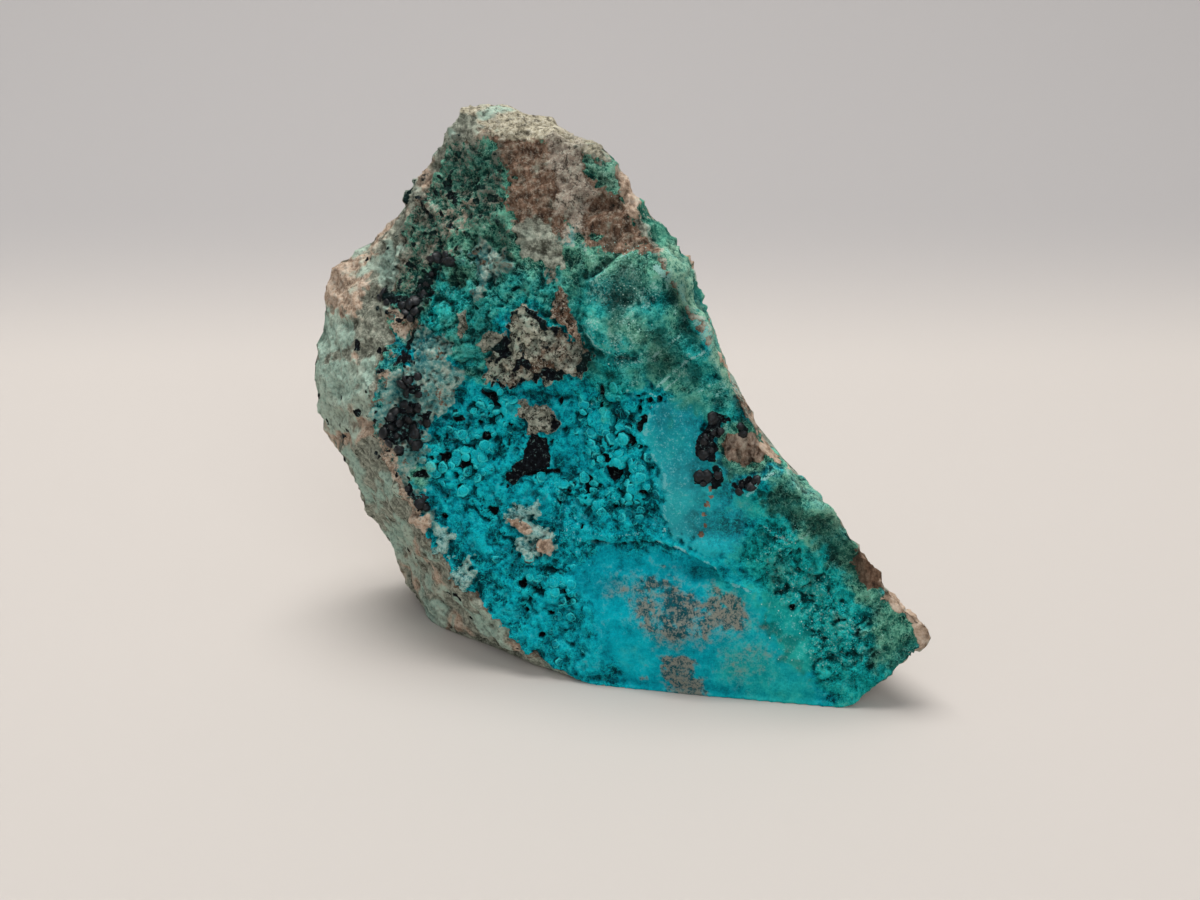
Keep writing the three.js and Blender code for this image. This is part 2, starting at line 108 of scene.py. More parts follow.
# places on the mineral face, in hundredths of the specimen's box: across from the left, and up
# each patch is (outline, softness of its edge in mm, raggedness of its edge)
patches = dict(
    face=([
        (84, -3), (56, -3), (44, 0), (38, 3), (30, 12), (24, 19), (17, 31), (12, 42), (12, 50), (14, 58),
        (16, 70), (18, 81), (24, 93), (31, 95.5), (42, 96), (50, 92), (58, 75.5), (62, 69), (67, 61),
        (70, 54), (73, 48.5), (77.5, 45.5), (83, 41), (87.5, 34.5), (90, 28.5), (92, 22.5), (98, 17),
        (102, 14), (96, 4), (90, 0),
    ], 0.7, 0.8),
    crown=([
        (30.5, 95.5), (34, 90), (33, 84.5), (34.5, 80), (36, 76.5), (41, 73.5), (44, 80.5), (49.5, 78.5),
        (57, 78.5), (53.5, 84), (48.5, 89), (45.5, 94), (41.5, 96), (35, 95.5),
    ], 1.2, 1.7),
    crownTop=([
        (26, 99.5), (30.5, 95.5), (35, 95), (42, 95.5), (46, 93.5), (50, 92.5), (48, 96), (34, 103),
    ], 0.7, 1.0),
    crownStripe=([
        (40, 96.5), (42.5, 96), (45, 94.5), (46, 91.5), (47.5, 88), (47, 85), (46, 83.5), (45, 80),
        (43.5, 79.5), (42.5, 82), (42, 85), (41, 88.5), (40.5, 91.5),
    ], 1.2, 1.6),
    crownSeam=([(42.5, 82), (44.5, 83), (45.5, 80.5), (45, 78), (43, 77.5), (42, 79.5)], 1.0, 2.0),
    khakiTongue=([
        (33.5, 82.5), (38, 83), (41, 80), (42.5, 78), (41, 73.5), (39, 74), (35.5, 77),
    ], 1.5, 2.0),
    knobTop=([
        (45.5, 93.5), (47.5, 94), (49.5, 93), (51, 91), (52, 88), (50.5, 85), (49, 87), (47.5, 90),
        (45.5, 91),
    ], 0.6, 0.9),
    orangeLine=([(51, 91), (52, 90), (54, 86.5), (54.5, 83), (53, 83), (52, 85.5), (51.5, 88)], 0.3, 0.5),
    cheek=([
        (28, 97.5), (30.5, 95.5), (34, 90), (33, 84.5), (34.5, 80), (36, 76.5), (33, 75), (28.5, 76.5),
        (23.5, 74), (18.5, 67), (13, 66), (15, 76), (18, 87), (22, 93),
    ], 2.5, 2.0),
    cheekDark=([
        (24.5, 92.5), (27.5, 93.5), (32, 93.5), (33, 88.5), (33, 86), (29.5, 86.5), (26, 85), (24, 86.5),
    ], 2.0, 2.0),
    crownSide=([(32, 83), (34, 82.5), (35, 77.5), (34, 74), (32.5, 76), (31.5, 80)], 1.2, 1.8),
    cheekTan=([
        (24, 85), (28.5, 87), (32.5, 86), (33, 83), (28.5, 80.5), (25.5, 76), (22, 75.5), (22, 81.5),
    ], 2.0, 2.0),
    flank=([
        (49, 93.5), (53, 91), (58, 85), (62, 79), (66, 70), (70, 58), (72, 51), (70, 54), (64, 65),
        (58, 76.5), (56, 81.5), (52, 90),
    ], 0.5, 0.5),
    tip=([
        (70.5, 39), (73.5, 42), (79, 40), (86, 33), (92, 24), (101, 16), (97, 4), (88, 0), (82, 3),
        (77, 10), (73, 16), (70, 23), (69, 31),
    ], 3.0, 2.5),
    upperRight=([
        (42, 73), (52, 80), (57, 79), (63, 74), (70, 56), (75, 45), (71, 40), (64, 51), (57, 53), (50, 50),
        (44, 55),
    ], 4.0, 3.0),
    plate=([
        (57, 53), (55.5, 49.5), (55, 46.5), (56.5, 42), (58, 40.5), (58.5, 36), (58.5, 29), (62.5, 27.5),
        (66.5, 26), (69.5, 26), (71, 30), (71.5, 37.5), (69, 42), (64, 47), (64, 52), (62.5, 54),
    ], 0.5, 1.0),
    below=([
        (42, 20), (48.5, 25.5), (55, 26), (64, 25), (71, 21), (79.5, 17.5), (81, 9.5), (84, -3), (52, -3),
        (49.5, 6.5), (46.5, 16),
    ], 1.5, 1.2),
    globesLeft=([
        (16, 52), (23.5, 50), (30, 52), (42, 52.5), (44.5, 46), (42.5, 39), (42.5, 30), (39, 23),
        (32.5, 19.5), (24.5, 21.5), (20.5, 25.5), (17.5, 32), (14.5, 39),
    ], 1.2, 1.2),
    globesMiddle=([
        (42.5, 52), (55, 54), (57, 52), (58.5, 48), (58, 41), (58.5, 35), (58, 30), (45.5, 28), (42, 34),
    ], 1.2, 1.2),
    globesFoot=([
        (32.5, 15), (37.5, 20), (44.5, 22.5), (49.5, 19), (52.5, 14.5), (51.5, 7), (48.5, 0), (42, 1.5),
    ], 1.2, 1.2),
    frillNear=([(72.5, 29.5), (74.5, 32.5), (78, 32.5), (79, 27), (77, 24), (73, 24.5)], 1.0, 1.5),
    frillBand=([
        (73, 26), (79.5, 25.5), (85.5, 23), (90, 18.5), (91, 13), (88, 6.5), (82, 4.5), (77, 9), (74, 16),
    ], 2.5, 2.5),
    globesUpper=([
        (22, 73), (28, 76), (42, 72), (42, 62), (38, 68), (33, 64), (30, 53), (26, 57), (18, 62),
    ], 1.5, 2.0),
    island=([
        (30.5, 55), (31, 58), (33.5, 61.5), (34.5, 65.5), (36.5, 67.5), (38.5, 67), (40, 64.5),
        (42.5, 64.5), (44.5, 61.5), (46.5, 60), (45.5, 55), (42.5, 56), (40, 53.5), (35, 52), (30.5, 53),
    ], 0.4, 1.2),
    islandArm=([(29, 60), (31.5, 62.5), (34, 61.5), (32.5, 59.5), (30.5, 58.5)], 0.4, 0.8),
    islandBrown=([
        (41, 63.5), (45.5, 65), (46.5, 60), (45, 56), (40, 54.5), (36, 52), (31.5, 51.5), (33, 54),
        (39.5, 57),
    ], 1.0, 1.5),
    islandSpur=([
        (41, 68.5), (42.5, 71), (43.5, 67.5), (44.5, 66), (45, 61.5), (43, 64.5), (41, 66),
    ], 0.3, 0.7),
    islandSmall=([(26, 65), (27, 65.5), (27.5, 62), (26.5, 60.5), (25.5, 61.5)], 0.4, 0.8),
    cross=([
        (35, 50), (36.5, 50), (37.5, 48.5), (40, 49.5), (41, 48), (42.5, 46.5), (41.5, 45), (40.5, 44),
        (37, 43.5), (37, 46), (35.5, 47.5),
    ], 0.4, 0.7),
    wedge=([
        (37.5, 44), (40, 43.5), (40.5, 38.5), (37.5, 37.5), (33.5, 34), (33, 36), (36, 39.5), (36.5, 41.5),
    ], 0.25, 0.5),
    paleLeft=([
        (18.5, 60.5), (21.5, 62), (25, 59.5), (24, 57.5), (25.5, 55), (26.5, 52.5), (26, 48.5), (24, 46),
        (22, 45), (21.5, 48), (19.5, 50.5), (17.5, 51), (17, 54), (19, 56.5),
    ], 0.7, 1.4),
    paleUpper=([
        (27, 75.5), (30.5, 77.5), (34, 76.5), (35, 74.5), (33, 72.5), (31.5, 70.5), (29, 68.5),
        (28.5, 70.5), (29, 73),
    ], 0.7, 1.4),
    blackLow=([
        (14, 44.5), (15, 46), (16, 48), (17, 49), (19, 48.5), (19.5, 47), (21.5, 47), (21.5, 45.5),
        (21, 43.5), (19, 42.5), (19.5, 40.5), (17, 40), (17, 41.5), (14.5, 42.5),
    ], 0.5, 1.2),
    blackMid=([(17, 52.5), (17.5, 53.5), (18.5, 54), (19.5, 54), (19, 52.5), (18, 51.5)], 0.3, 0.6),
    blackMidLow=([(18.5, 51.5), (19.5, 52), (20.5, 50.5), (20, 50), (19, 50.5)], 0.3, 0.6),
    blackDot=([(16.5, 51), (17.5, 51), (17, 49.5), (16.5, 49.5)], 0.3, 0.4),
    blackBeside=([(24, 46.5), (27, 47), (26.5, 45), (25, 45)], 0.3, 0.6),
    blackTop=([(22.5, 74), (25, 74.5), (26, 74.5), (25, 73.5), (23.5, 73)], 0.4, 0.8),
    blackStreak=([
        (17.5, 36), (19, 35), (18.5, 32.5), (20.5, 32), (21.5, 30.5), (19.5, 29.5), (17.5, 33.5),
    ], 0.4, 0.5),
    blackUpper=([
        (21, 72), (22, 72.5), (22.5, 72), (22.5, 70.5), (21.5, 70), (22, 68.5), (22, 67), (20.5, 66.5),
        (20, 66.5), (20.5, 68), (20.5, 69.5), (20, 70.5),
    ], 0.4, 0.9),
    blackRim=([
        (13.5, 65.5), (15, 66.5), (17, 67), (19, 65), (20, 65), (20.5, 63.5), (19, 64), (16.5, 64.5),
        (15, 64.5),
    ], 0.5, 1.2),
    rimSoot=([
        (15.5, 58), (16, 61), (17, 60), (18.5, 58), (19, 56.5), (17.5, 55.5), (16.5, 57), (15.5, 56.5),
    ], 0.5, 1.4),
    blackMain=([
        (66, 51), (68, 50.5), (68.5, 50), (67, 49.5), (67, 47.5), (66, 46.5), (66.5, 45), (66, 43),
        (64, 42.5), (63, 43.5), (63, 46), (64, 48), (65.5, 49.5),
    ], 0.3, 0.5),
    blackOne=([(69, 49), (70, 50), (71, 49), (71, 48), (70, 47.5)], 0.3, 0.4),
    blackTwo=([(66, 41.5), (66.5, 42), (67.5, 41.5), (67, 40.5), (66.5, 40.5)], 0.3, 0.4),
    blackThree=([(63, 40), (63.5, 41), (65, 40.5), (64.5, 38.5), (63, 38.5)], 0.3, 0.4),
    blackTail=([(68.5, 38.5), (69.5, 40), (71.5, 41), (72.5, 40.5), (71.5, 38.5), (70, 38)], 0.4, 0.8),
    blackFour=([(65.5, 40), (66.5, 40.5), (67, 40), (67, 38.5), (66, 38)], 0.3, 0.4),
    disc=([
        (67.5, 46.5), (68, 47.5), (70, 48), (72, 48), (73.5, 45.5), (73.5, 43.5), (71, 42.5), (68.5, 43),
        (67.5, 44),
    ], 0.6, 0.6),
    discEdge=([(66, 48), (70, 51.5), (74, 49), (75.5, 44), (73, 40.5), (69, 40.5), (67, 42)], 1.0, 1.0),
    rimGreen=([
        (57, 78.5), (60, 78), (62.5, 74.5), (62.5, 71), (65, 66), (68, 59.5), (70.5, 52.5), (69.5, 52.5),
        (66, 60), (63.5, 64.5), (62, 68.5), (59.5, 72.5),
    ], 0.8, 0.8),
    tanRim=([
        (62, 76), (64.5, 70), (67, 61), (69, 56.5), (70.5, 52.5), (74.5, 44.5), (77.5, 42), (79, 43),
        (76, 49), (71.5, 58), (67.5, 69), (64.5, 76),
    ], 0.3, 0.9),
    edgeGreen=([
        (61, 82), (64, 77), (68, 69.5), (72, 59), (76.5, 49.5), (80, 45), (85, 39), (80, 41), (76, 46),
        (72, 53), (68, 63), (64, 74),
    ], 0.6, 0.6),
    tipGreen=([
        (72.5, 44), (79, 46.5), (85, 41), (91, 33), (93, 25), (101, 17), (98, 4), (91, 8), (87, 18),
        (82, 29), (77, 34), (73, 38),
    ], 2.5, 2.5),
    tipEdge=([(77, 41), (79, 45), (84, 41), (88.5, 34), (87, 30), (82, 36)], 1.0, 1.0),
    hollowNear=([(73, 38.5), (76, 39.5), (79, 37.5), (79.5, 34), (78, 33), (74.5, 34.5)], 0.9, 1.0),
    hollowFar=([
        (80, 34), (83.5, 35), (86.5, 30.5), (89.5, 25), (88.5, 22), (85, 25.5), (81.5, 30.5),
    ], 1.2, 1.0),
    tipBrown=([(87.5, 29), (90, 28), (93, 24.5), (92.5, 21.5), (89, 22.5), (87.5, 24.5)], 0.6, 0.8),
    tipTan=([
        (91.5, 23), (98.5, 18.5), (101, 15), (99, 10.5), (96.5, 11), (97, 14), (95.5, 16.5), (91.5, 20),
    ], 0.6, 0.8),
    stainDarkLeft=([(54, 18.5), (55, 20.5), (56.5, 22), (58.5, 21), (58, 19), (56, 17.5)], 1.3, 2.2),
    stainDarkRight=([
        (58, 17.5), (59.5, 18.5), (63, 18), (64, 16), (62.5, 12.5), (60.5, 12.5), (58.5, 14.5),
    ], 1.3, 2.2),
    stainBrownLeft=([
        (52.5, 17), (54, 18.5), (57, 18.5), (58, 16), (57, 12.5), (55, 12), (53, 14),
    ], 1.3, 2.2),
    stainBrownRight=([
        (62.5, 18), (66, 18.5), (70, 18), (71.5, 15.5), (68.5, 13), (65.5, 12), (60, 11.5), (58, 12.5),
        (62, 14),
    ], 1.3, 2.2),
    stainFoot=([
        (57, 1), (58, 4.5), (60, 7.5), (62.5, 8), (65, 4.5), (64.5, 1), (63, -2), (57, -2),
    ], 1.3, 2.6),
    stainWide=([
        (50.5, 20), (55, 22), (60, 20.5), (64, 19), (70, 19), (73.5, 16), (71.5, 12), (64, 9), (57, 9),
        (51, 13),
    ], 3.0, 2.5),
    stainFaint=([(66, 12), (73, 12.5), (77, 6), (70, 1), (66, 5)], 2.0, 2.5),
    nuggetLeft=([(17.5, 28), (21, 28.5), (21, 26.5), (20, 25), (18, 26)], 0.3, 0.5),
    nuggetMiddle=([(34, 29), (35.5, 29), (37.5, 28.5), (38, 27), (36, 26.5), (34, 27.5)], 0.3, 0.5),
    nuggetRight=([(38.5, 25.5), (41, 26), (41.5, 24), (40.5, 23), (39, 23.5)], 0.3, 0.5),
    crustA=([
        (33.5, 31), (38, 31), (39, 28), (41.5, 25.5), (41.5, 23.5), (38, 22.5), (35, 23.5), (35.5, 25.5),
        (37, 26.5), (34, 27.5),
    ], 0.6, 1.6),
    crustC=([(22.5, 24.5), (24.5, 25.5), (25.5, 22.5), (24.5, 20.5), (23, 22)], 0.6, 1.4),
    crustD=([(24.5, 20), (27.5, 22), (28.5, 17.5), (26.5, 16)], 0.6, 1.4),
    lace=([(40, 35.5), (47, 34), (48, 31), (46, 25.5), (42.5, 25), (39.5, 28)], 2.5, 3.0),
    frostKnob=([
        (47.5, 76), (54.5, 78), (56, 75), (54.5, 71), (54, 69), (54.5, 63.5), (51, 61), (48, 63.5),
        (49, 68), (47.5, 71),
    ], 2.0, 2.0),
    nestRight=([
        (46, 53), (49, 54.5), (54, 53.5), (55, 49.5), (57, 41.5), (56, 36.5), (52.5, 38), (48.5, 38.5),
        (47, 43.5), (45, 48),
    ], 1.0, 2.0),
    nestLeft=([
        (21, 43), (25, 45), (30, 43.5), (31, 39), (29, 34), (24.5, 33), (21.5, 35.5), (20, 39.5),
    ], 1.0, 2.0),
    nestUpper=([(27, 49), (30, 52), (35, 51), (35.5, 46), (31, 44.5), (28, 45.5)], 1.0, 1.5),
    nestLow=([(42, 37), (48, 38), (56.5, 35), (57, 31.5), (53.5, 30), (46, 31), (41.5, 33)], 1.0, 2.0),
    nestFoot=([(35, 22), (42, 25), (46, 22), (47, 17), (42, 13), (36.5, 15.5), (34, 18.5)], 1.0, 2.0),
    paleLow=([
        (14, 54), (26, 55), (26, 50), (23.5, 46), (21, 42.5), (20.5, 37.5), (19, 35), (20.5, 30.5),
        (22, 28.5), (17.5, 28.5), (14, 37.5), (12.5, 44),
    ], 1.2, 2.0),
    greenHollow=([(23, 70.5), (25, 72.5), (28, 73), (28.5, 71.5), (26, 69.5), (24.5, 69)], 0.6, 0.8),
    rimTan=([(15, 64.5), (17.5, 65), (19.5, 63), (18, 61), (16.5, 58.5), (15, 60), (15.5, 62.5)], 0.5, 1.2),
    rimOrange=([(13, 53), (14, 54.5), (15.5, 54.5), (15, 53.5), (13.5, 52.5)], 0.4, 0.8),
    rimLow=([(12.5, 43), (14.5, 43), (17.5, 33), (20.5, 27.5), (18.5, 26.5), (15, 32)], 0.5, 1.0),
    duskLeft=([
        (12, 38), (11, 50), (14, 62), (20, 75), (24, 73), (19, 60), (16.5, 50), (20, 42), (22, 32),
        (17, 33),
    ], 2.5, 2.0),
    tanKnob=([(0, 70), (9, 72), (12, 71), (11, 66.5), (9, 62), (0, 60)], 1.0, 1.5),
    orangeSide=([(-2, 41), (7.5, 46), (8.5, 42), (7, 35.5), (3, 34), (-2, 34)], 1.5, 1.5),
    mintUpper=([(-2, 53.5), (0, 59.5), (8, 61), (9, 57.5), (5.5, 55), (2, 53)], 1.0, 1.5),
    mintLower=([(-2, 49), (5, 53), (9.5, 54.5), (11, 50.5), (9, 46), (3.5, 43), (-2, 44)], 1.0, 1.5),
)

# ridges and cracks: (way, half width in mm, rise in mm, white along it: pale frost and painted highlight
# where the edge catches the light, black inside it: painted shade in the crack)
lines = dict(
    knobRidge=([(57, 75.5), (60.5, 72.5), (62.5, 67.5), (65, 63)], 0.9, 0.8, 0.9, 0),
    knobLip=([(48, 73), (51.5, 76.5), (54.5, 78), (58, 77.5), (60.5, 74.5)], 0.7, 0.7, 0.7, 0),
    darkDiagonal=([(46, 73.5), (49.5, 75.5), (51.5, 77.5), (53.5, 79)], 0.7, -0.9, 0, 0),
    rayLong=([(54.5, 58.5), (58.5, 62.5), (62.5, 66.5)], 0.35, 0.35, 0.9, 0),
    rayLow=([(57, 55), (62, 60.5), (65, 62.5)], 0.35, 0.35, 0.9, 0),
    rayHigh=([(54.5, 71), (55.5, 68), (55, 66)], 0.35, 0.25, 0.7, 0),
    rimRay=([(58, 76.5), (60.5, 72), (62.5, 67.5), (65, 62.5), (67, 58)], 0.45, 0.35, 0.7, 0),
    fold=([(54.5, 54), (58.5, 53), (62.5, 54), (66, 56.5)], 0.5, 0.3, 0.6, 0),
    rimGroove=([(62.5, 74.5), (65.5, 66), (68.5, 58), (70, 52.5)], 0.9, -0.4, 0.3, 0),
    bossEdge=([(45.5, 64), (47, 60.5), (50, 59), (53.5, 60), (55, 63.5)], 0.7, -0.5, 0, 0),
    bossLip=([(46.5, 64), (48, 61.5), (51, 60.5), (53.5, 62.5)], 0.5, 0.3, 0.7, 0),
    foldLeft=([(42, 29.5), (45.5, 28), (50, 27.5), (54.5, 28.5)], 0.5, 0.25, 0.5, 0),
    foldFoot=([(44, 25), (46, 22.5), (49, 20.5), (52.5, 21)], 0.5, 0.2, 0.4, 0),
    streakHigh=([(58.5, 73), (60, 70), (59.5, 66.5)], 0.3, 0.2, 0.9, 0),
    streakLow=([(62, 62), (60.5, 57), (58, 54.5)], 0.3, 0.2, 0.8, 0),
    plateEdge=([(56.5, 52), (55.5, 46.5), (57, 42), (58.5, 40), (58.5, 36), (58.5, 29)], 0.5, 0.15, 0.9, 0),
    lip=([
        (57.5, 27.5), (61, 26.5), (63, 25.5), (66, 24), (67, 21.5), (70.5, 20.5), (74, 18.5),
    ], 0.45, 0.25, 0.9, 0),
    shoulderEdge=([(71, 37.5), (73, 40), (74.5, 41.5), (76.5, 42), (79, 39.5)], 0.5, 0.4, 0.8, 0),
    hollowEdge=([(73, 33), (75, 30.5), (78, 30), (80.5, 31.5)], 0.5, 0.35, 0.6, 0),
    crackLeft=([(30, 51), (31.5, 50), (32.5, 48)], 0.5, -1.3, 0, 1),
    crackMiddle=([(51, 45.5), (52.5, 46.5), (53.5, 45.5)], 0.4, -1.1, 0, 1),
    crackUpper=([(48.5, 53.5), (48.5, 50)], 0.4, -1.1, 0, 1),
    crackWedge=([(37, 37), (39, 37.5), (41.5, 38)], 0.4, -1.0, 0, 1),
)
ledgeLine = [
    (40, 23), (42.5, 24), (47, 26.5), (52.5, 26.5), (57.5, 27.5), (61, 26.5), (63, 25.5), (66, 24),
    (67, 21.5), (70.5, 20.5), (75, 18.5), (79, 17),
]

# rounded rises and hollows: (across, up, half width mm, half height mm, rise mm)
mounds = dict(
    knob=(54.5, 75, 8, 2.6, 1.8),
    boss=(50, 64.5, 4, 4, 1.2),
    bossGap=(53, 70.5, 8, 2, -1.2),
    leftOfBoss=(45, 67, 1.6, 4.5, -1.0),
    upperBulge=(63.5, 62, 3.5, 6, 0.7),
    rightOfBoss=(60, 64, 1.8, 5, -0.9),
    plateDip=(66, 33, 5, 4, -0.7),
    plateLow=(67, 27, 6, 2, 0.5),
    shoulderLump=(74.5, 41, 3, 1.8, 0.9),
    shoulderRidge=(81, 36.5, 5, 1.2, 0.7),
    tipLump=(86, 17, 6, 4, 0.9),
    tipDip=(78, 22, 4, 3, -0.9),
    footLump=(61, 13, 9, 3.5, 0.9),
    ledgeHollow=(64, 22.5, 6, 1.6, -1.0),
    cheekLump=(25, 80, 4, 5, 0.8),
    cheekDip=(21, 70, 3, 3, -0.9),
    cheekHollow=(27, 87, 4, 3, -0.7),
    islandTop=(38, 59, 6, 5.5, 0.9),
    underIsland=(38, 50.8, 7, 1.2, -0.9),
    globeHollow=(27, 42, 6, 4, -0.9),
    globeBulge=(51, 43, 5, 4, 0.9),
    globeLow=(30, 25, 6, 3, 0.7),
    crownDip=(46.5, 84, 4, 4, -0.6),
    crownFlat=(38, 86, 4, 5, 0.4),
)

# holes between the globules, painted black as shade inside them: (across, up, radius mm)
pitSpots = [
    (26, 46, 0.9), (29.5, 45.5, 0.7), (30.5, 43, 0.8), (23.5, 39, 0.8), (27, 38, 1.0), (22.5, 37.5, 0.7),
    (20, 36, 1.0), (28.5, 41, 0.6), (32, 32, 0.5), (31.5, 30, 0.9), (23.5, 28.5, 0.6), (42, 50, 0.5),
    (54, 53, 0.6), (55, 53.5, 0.7), (56, 52.5, 0.5), (57.5, 53, 0.5), (54.5, 52, 0.5), (54.5, 50.5, 0.6),
    (55, 49, 0.6), (54.5, 47.5, 0.7), (53.5, 45, 0.8), (49.5, 41.5, 0.5), (50.5, 39, 1.0),
    (46.5, 36.5, 0.9), (43.5, 35, 0.6), (39.5, 37.5, 0.6), (56.5, 40.5, 0.5), (55, 36, 0.5),
    (50.5, 33, 0.5), (45.5, 29, 0.5), (26, 34, 0.6), (34, 45, 0.5), (36, 17.5, 0.6), (38.5, 16, 0.7),
    (42.5, 17, 0.6), (36.5, 13, 0.7), (39, 8.5, 0.6), (40.5, 13, 0.5), (19, 47, 0.5), (72.5, 24, 0.3),
    (78.5, 17.5, 0.4),
]
rustSpots = [
    (65.5, 38, 0.35), (65.5, 36.5, 0.3), (65, 35, 0.4), (64.5, 33, 0.3), (64.5, 31, 0.3), (64, 29.5, 0.4),
]


def placeOf(outline):
    return np.array([(low.x + span.x * a / 100, low.z + span.z * u / 100) for a, u in outline]) / mm


def insideOf(x, z, corners):  # mm inside an outline, less than 0 outside
    best = np.full(len(x), 1e9)
    odd = np.zeros(len(x), bool)
    for (ax, az), (bx, bz) in zip(corners, np.roll(corners, -1, 0)):
        dx, dz = bx - ax, bz - az
        t = np.clip(((x - ax) * dx + (z - az) * dz) / (dx * dx + dz * dz), 0, 1)
        best = np.minimum(best, (x - ax - t * dx) ** 2 + (z - az - t * dz) ** 2)
        odd ^= ((az > z) != (bz > z)) & (x < ax + (z - az) * dx / (dz if dz else 1e-9))
    return np.where(odd, 1, -1) * np.sqrt(best)


def besideLine(x, z, corners):  # distance from a line in mm, and on which side: above 0 is left of its way
    best, side = np.full(len(x), 1e9), np.zeros(len(x))
    for (ax, az), (bx, bz) in zip(corners[:-1], corners[1:]):
        dx, dz = bx - ax, bz - az
        t = np.clip(((x - ax) * dx + (z - az) * dz) / (dx * dx + dz * dz), 0, 1)
        away = (x - ax - t * dx) ** 2 + (z - az - t * dz) ** 2
        closer = away < best
        side = np.where(closer, np.sign(dx * (z - az) - dz * (x - ax)), side)
        best = np.where(closer, away, best)
    return np.sqrt(best), side


rock = dict(
    voxel=0.34,  # mm, the mesh it is carved in
    rounding=8,  # passes that take the facets off
    triangles=196000,
    sink=0.6,  # mm that the carving lies under the CAD skin on the whole
    globeSize=2.4,  # mm between the round chrysocolla globules
    globeRise=1.0,
    frillSize=0.85,
    pitDepth=1.3,
    footing=1.2,  # mm above the base where the carving fades out
    deepest=4.0,
    proudest=1.4,
)


def carvedBase():  # the CAD solid, remeshed finely and with its facets rounded off
    lump = bpy.data.objects.new("rockBase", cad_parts["chrysocolla_specimen"].data.copy())
    scene.collection.objects.link(lump)
    weld = lump.modifiers.new("weld", "WELD")
    weld.merge_threshold = 1e-6
    remesh = lump.modifiers.new("remesh", "REMESH")
    remesh.mode = "VOXEL"
    remesh.voxel_size = rock["voxel"] * mm
    smooth = lump.modifiers.new("smooth", "SMOOTH")
    smooth.factor = 0.5
    smooth.iterations = rock["rounding"]
    mesh = bpy.data.meshes.new_from_object(lump.evaluated_get(bpy.context.evaluated_depsgraph_get()))
    bpy.data.objects.remove(lump)
    return mesh


def readNumbers(collection, field, width, kind=np.float32):
    flat = np.zeros(len(collection) * width, kind)
    collection.foreach_get(field, flat)
    return flat.reshape(-1, width)


def softened(value, ends, passes):  # each point's value averaged with its neighbours'
    tally = np.bincount(ends.ravel(), minlength=len(value)) + 1.0
    for _ in range(passes):
        total = value + np.bincount(ends[:, 0], value[ends[:, 1]], len(value))
        total += np.bincount(ends[:, 1], value[ends[:, 0]], len(value))
        value = total / tally
    return value


mesh = carvedBase()
spots = readNumbers(mesh.vertices, "co", 3).astype(np.float64) / mm
normals = readNumbers(mesh.vertex_normals, "vector", 3).astype(np.float64)
ends = readNumbers(mesh.edges, "vertices", 2, np.int32)
x, z = spots[:, 0], spots[:, 2]
print("rock base", len(spots), "points")

broad = waves(spots, 9.0, 21)
lump = waves(spots, 5.5, 20)
mid = waves(spots, 2.8, 22)
small = waves(spots, 1.2, 23)
tiny = waves(spots, 0.6, 24)
edgeNoise = lump + 0.9 * mid + 0.8 * small + 0.5 * tiny
faceTilt = math.radians(24)  # how far the mineral face leans back
faceWay = np.array([0, -math.cos(faceTilt), math.sin(faceTilt)])
rimDepth = 0.47 * z - 35  # how far back the right rim of the face lies
nearRim = ramp(x + 0.9 * z, 40, 56) * ramp(x, -2, 8)  # 1 along that rim
seen = ramp(normals @ faceWay, -0.12, 0.12)  # the mineral face's side of the rock
seen = seen * (1 - nearRim * ramp(spots[:, 1] - rimDepth + 2 * lump + 2 * mid, 5, 11))


def patchOf(outline, soft, ragged):  # 1 inside an outline, 0 outside
    corners = placeOf(outline)
    margin = 2 * soft + 2 * ragged + 1
    inBox = (x > corners[:, 0].min() - margin) & (x < corners[:, 0].max() + margin) & (seen > 0)
    near = np.where(inBox & (z > corners[:, 1].min() - margin) & (z < corners[:, 1].max() + margin))[0]
    value = np.zeros(len(x))
    inside = insideOf(x[near], z[near], corners) + ragged * edgeNoise[near]
    value[near] = ramp(inside, -soft, soft) * seen[near]
    return value


zone = {name: patchOf(*settings) for name, settings in patches.items()}
print("patches placed")


def most(*values):  # the highest of several values at each point
    return np.max(values, 0)


def anyOf(*names):
    return most(*(zone[name] for name in names))


def zones(**weights):  # the strongest of some patches at each point, each by its weight
    return most(*(weight * zone[name] for name, weight in weights.items()))


def spotsNear(a, u, reachX, reachZ):  # how far out each point is in an ellipse, 1 at its edge
    (cx, cz), = placeOf([(a, u)])
    return np.hypot((x - cx) / reachX, (z - cz) / reachZ)


islands = anyOf("island", "islandArm", "islandSpur", "islandSmall", "cross")
nuggets = anyOf("nuggetLeft", "nuggetMiddle", "nuggetRight")
crusts = anyOf("crustA", "crustC", "crustD")
pales = anyOf("paleLeft", "paleUpper")
blacks = anyOf(*(name for name in zone if name.startswith("black")))
stains = anyOf("stainDarkLeft", "stainDarkRight", "stainBrownLeft", "stainBrownRight", "stainFoot")
stains = most(0.9 * stains, 0.5 * zone["stainWide"], 0.35 * zone["stainFaint"])
frills = anyOf("frillNear", "frillBand")
hollows = anyOf("hollowNear", "hollowFar", "greenHollow")
rims = anyOf("rimTan", "rimOrange", "rimLow")
face, below = zone["face"], zone["below"]
slab = zone["plate"] * (1 - 0.6 * ramp(x, 11, 20))  # fades to the right
bare = 1 - face
islandHeart = patchOf(patches["island"][0], 4.0, 1.0)
upShare = z / (span.z / mm)  # 0 at the base, 1 at the top
solid = most(anyOf("crown", "wedge", "disc"), islands, slab, 0.9 * below, nuggets)
clustered = ramp(waves(spots, 8.0, 25) + 0.3 * mid, -0.1, 0.35)
nests = anyOf("nestRight", "nestLeft", "nestUpper", "nestLow", "nestFoot")
globeZone = anyOf("globesLeft", "globesMiddle", "globesFoot") - solid - 0.7 * zone["paleLow"]
globeZone = np.clip(globeZone, 0, 1) * face
ball = globeZone * (0.15 + 0.85 * np.maximum(nests, 0.5 * clustered))
drape = globeZone - ball
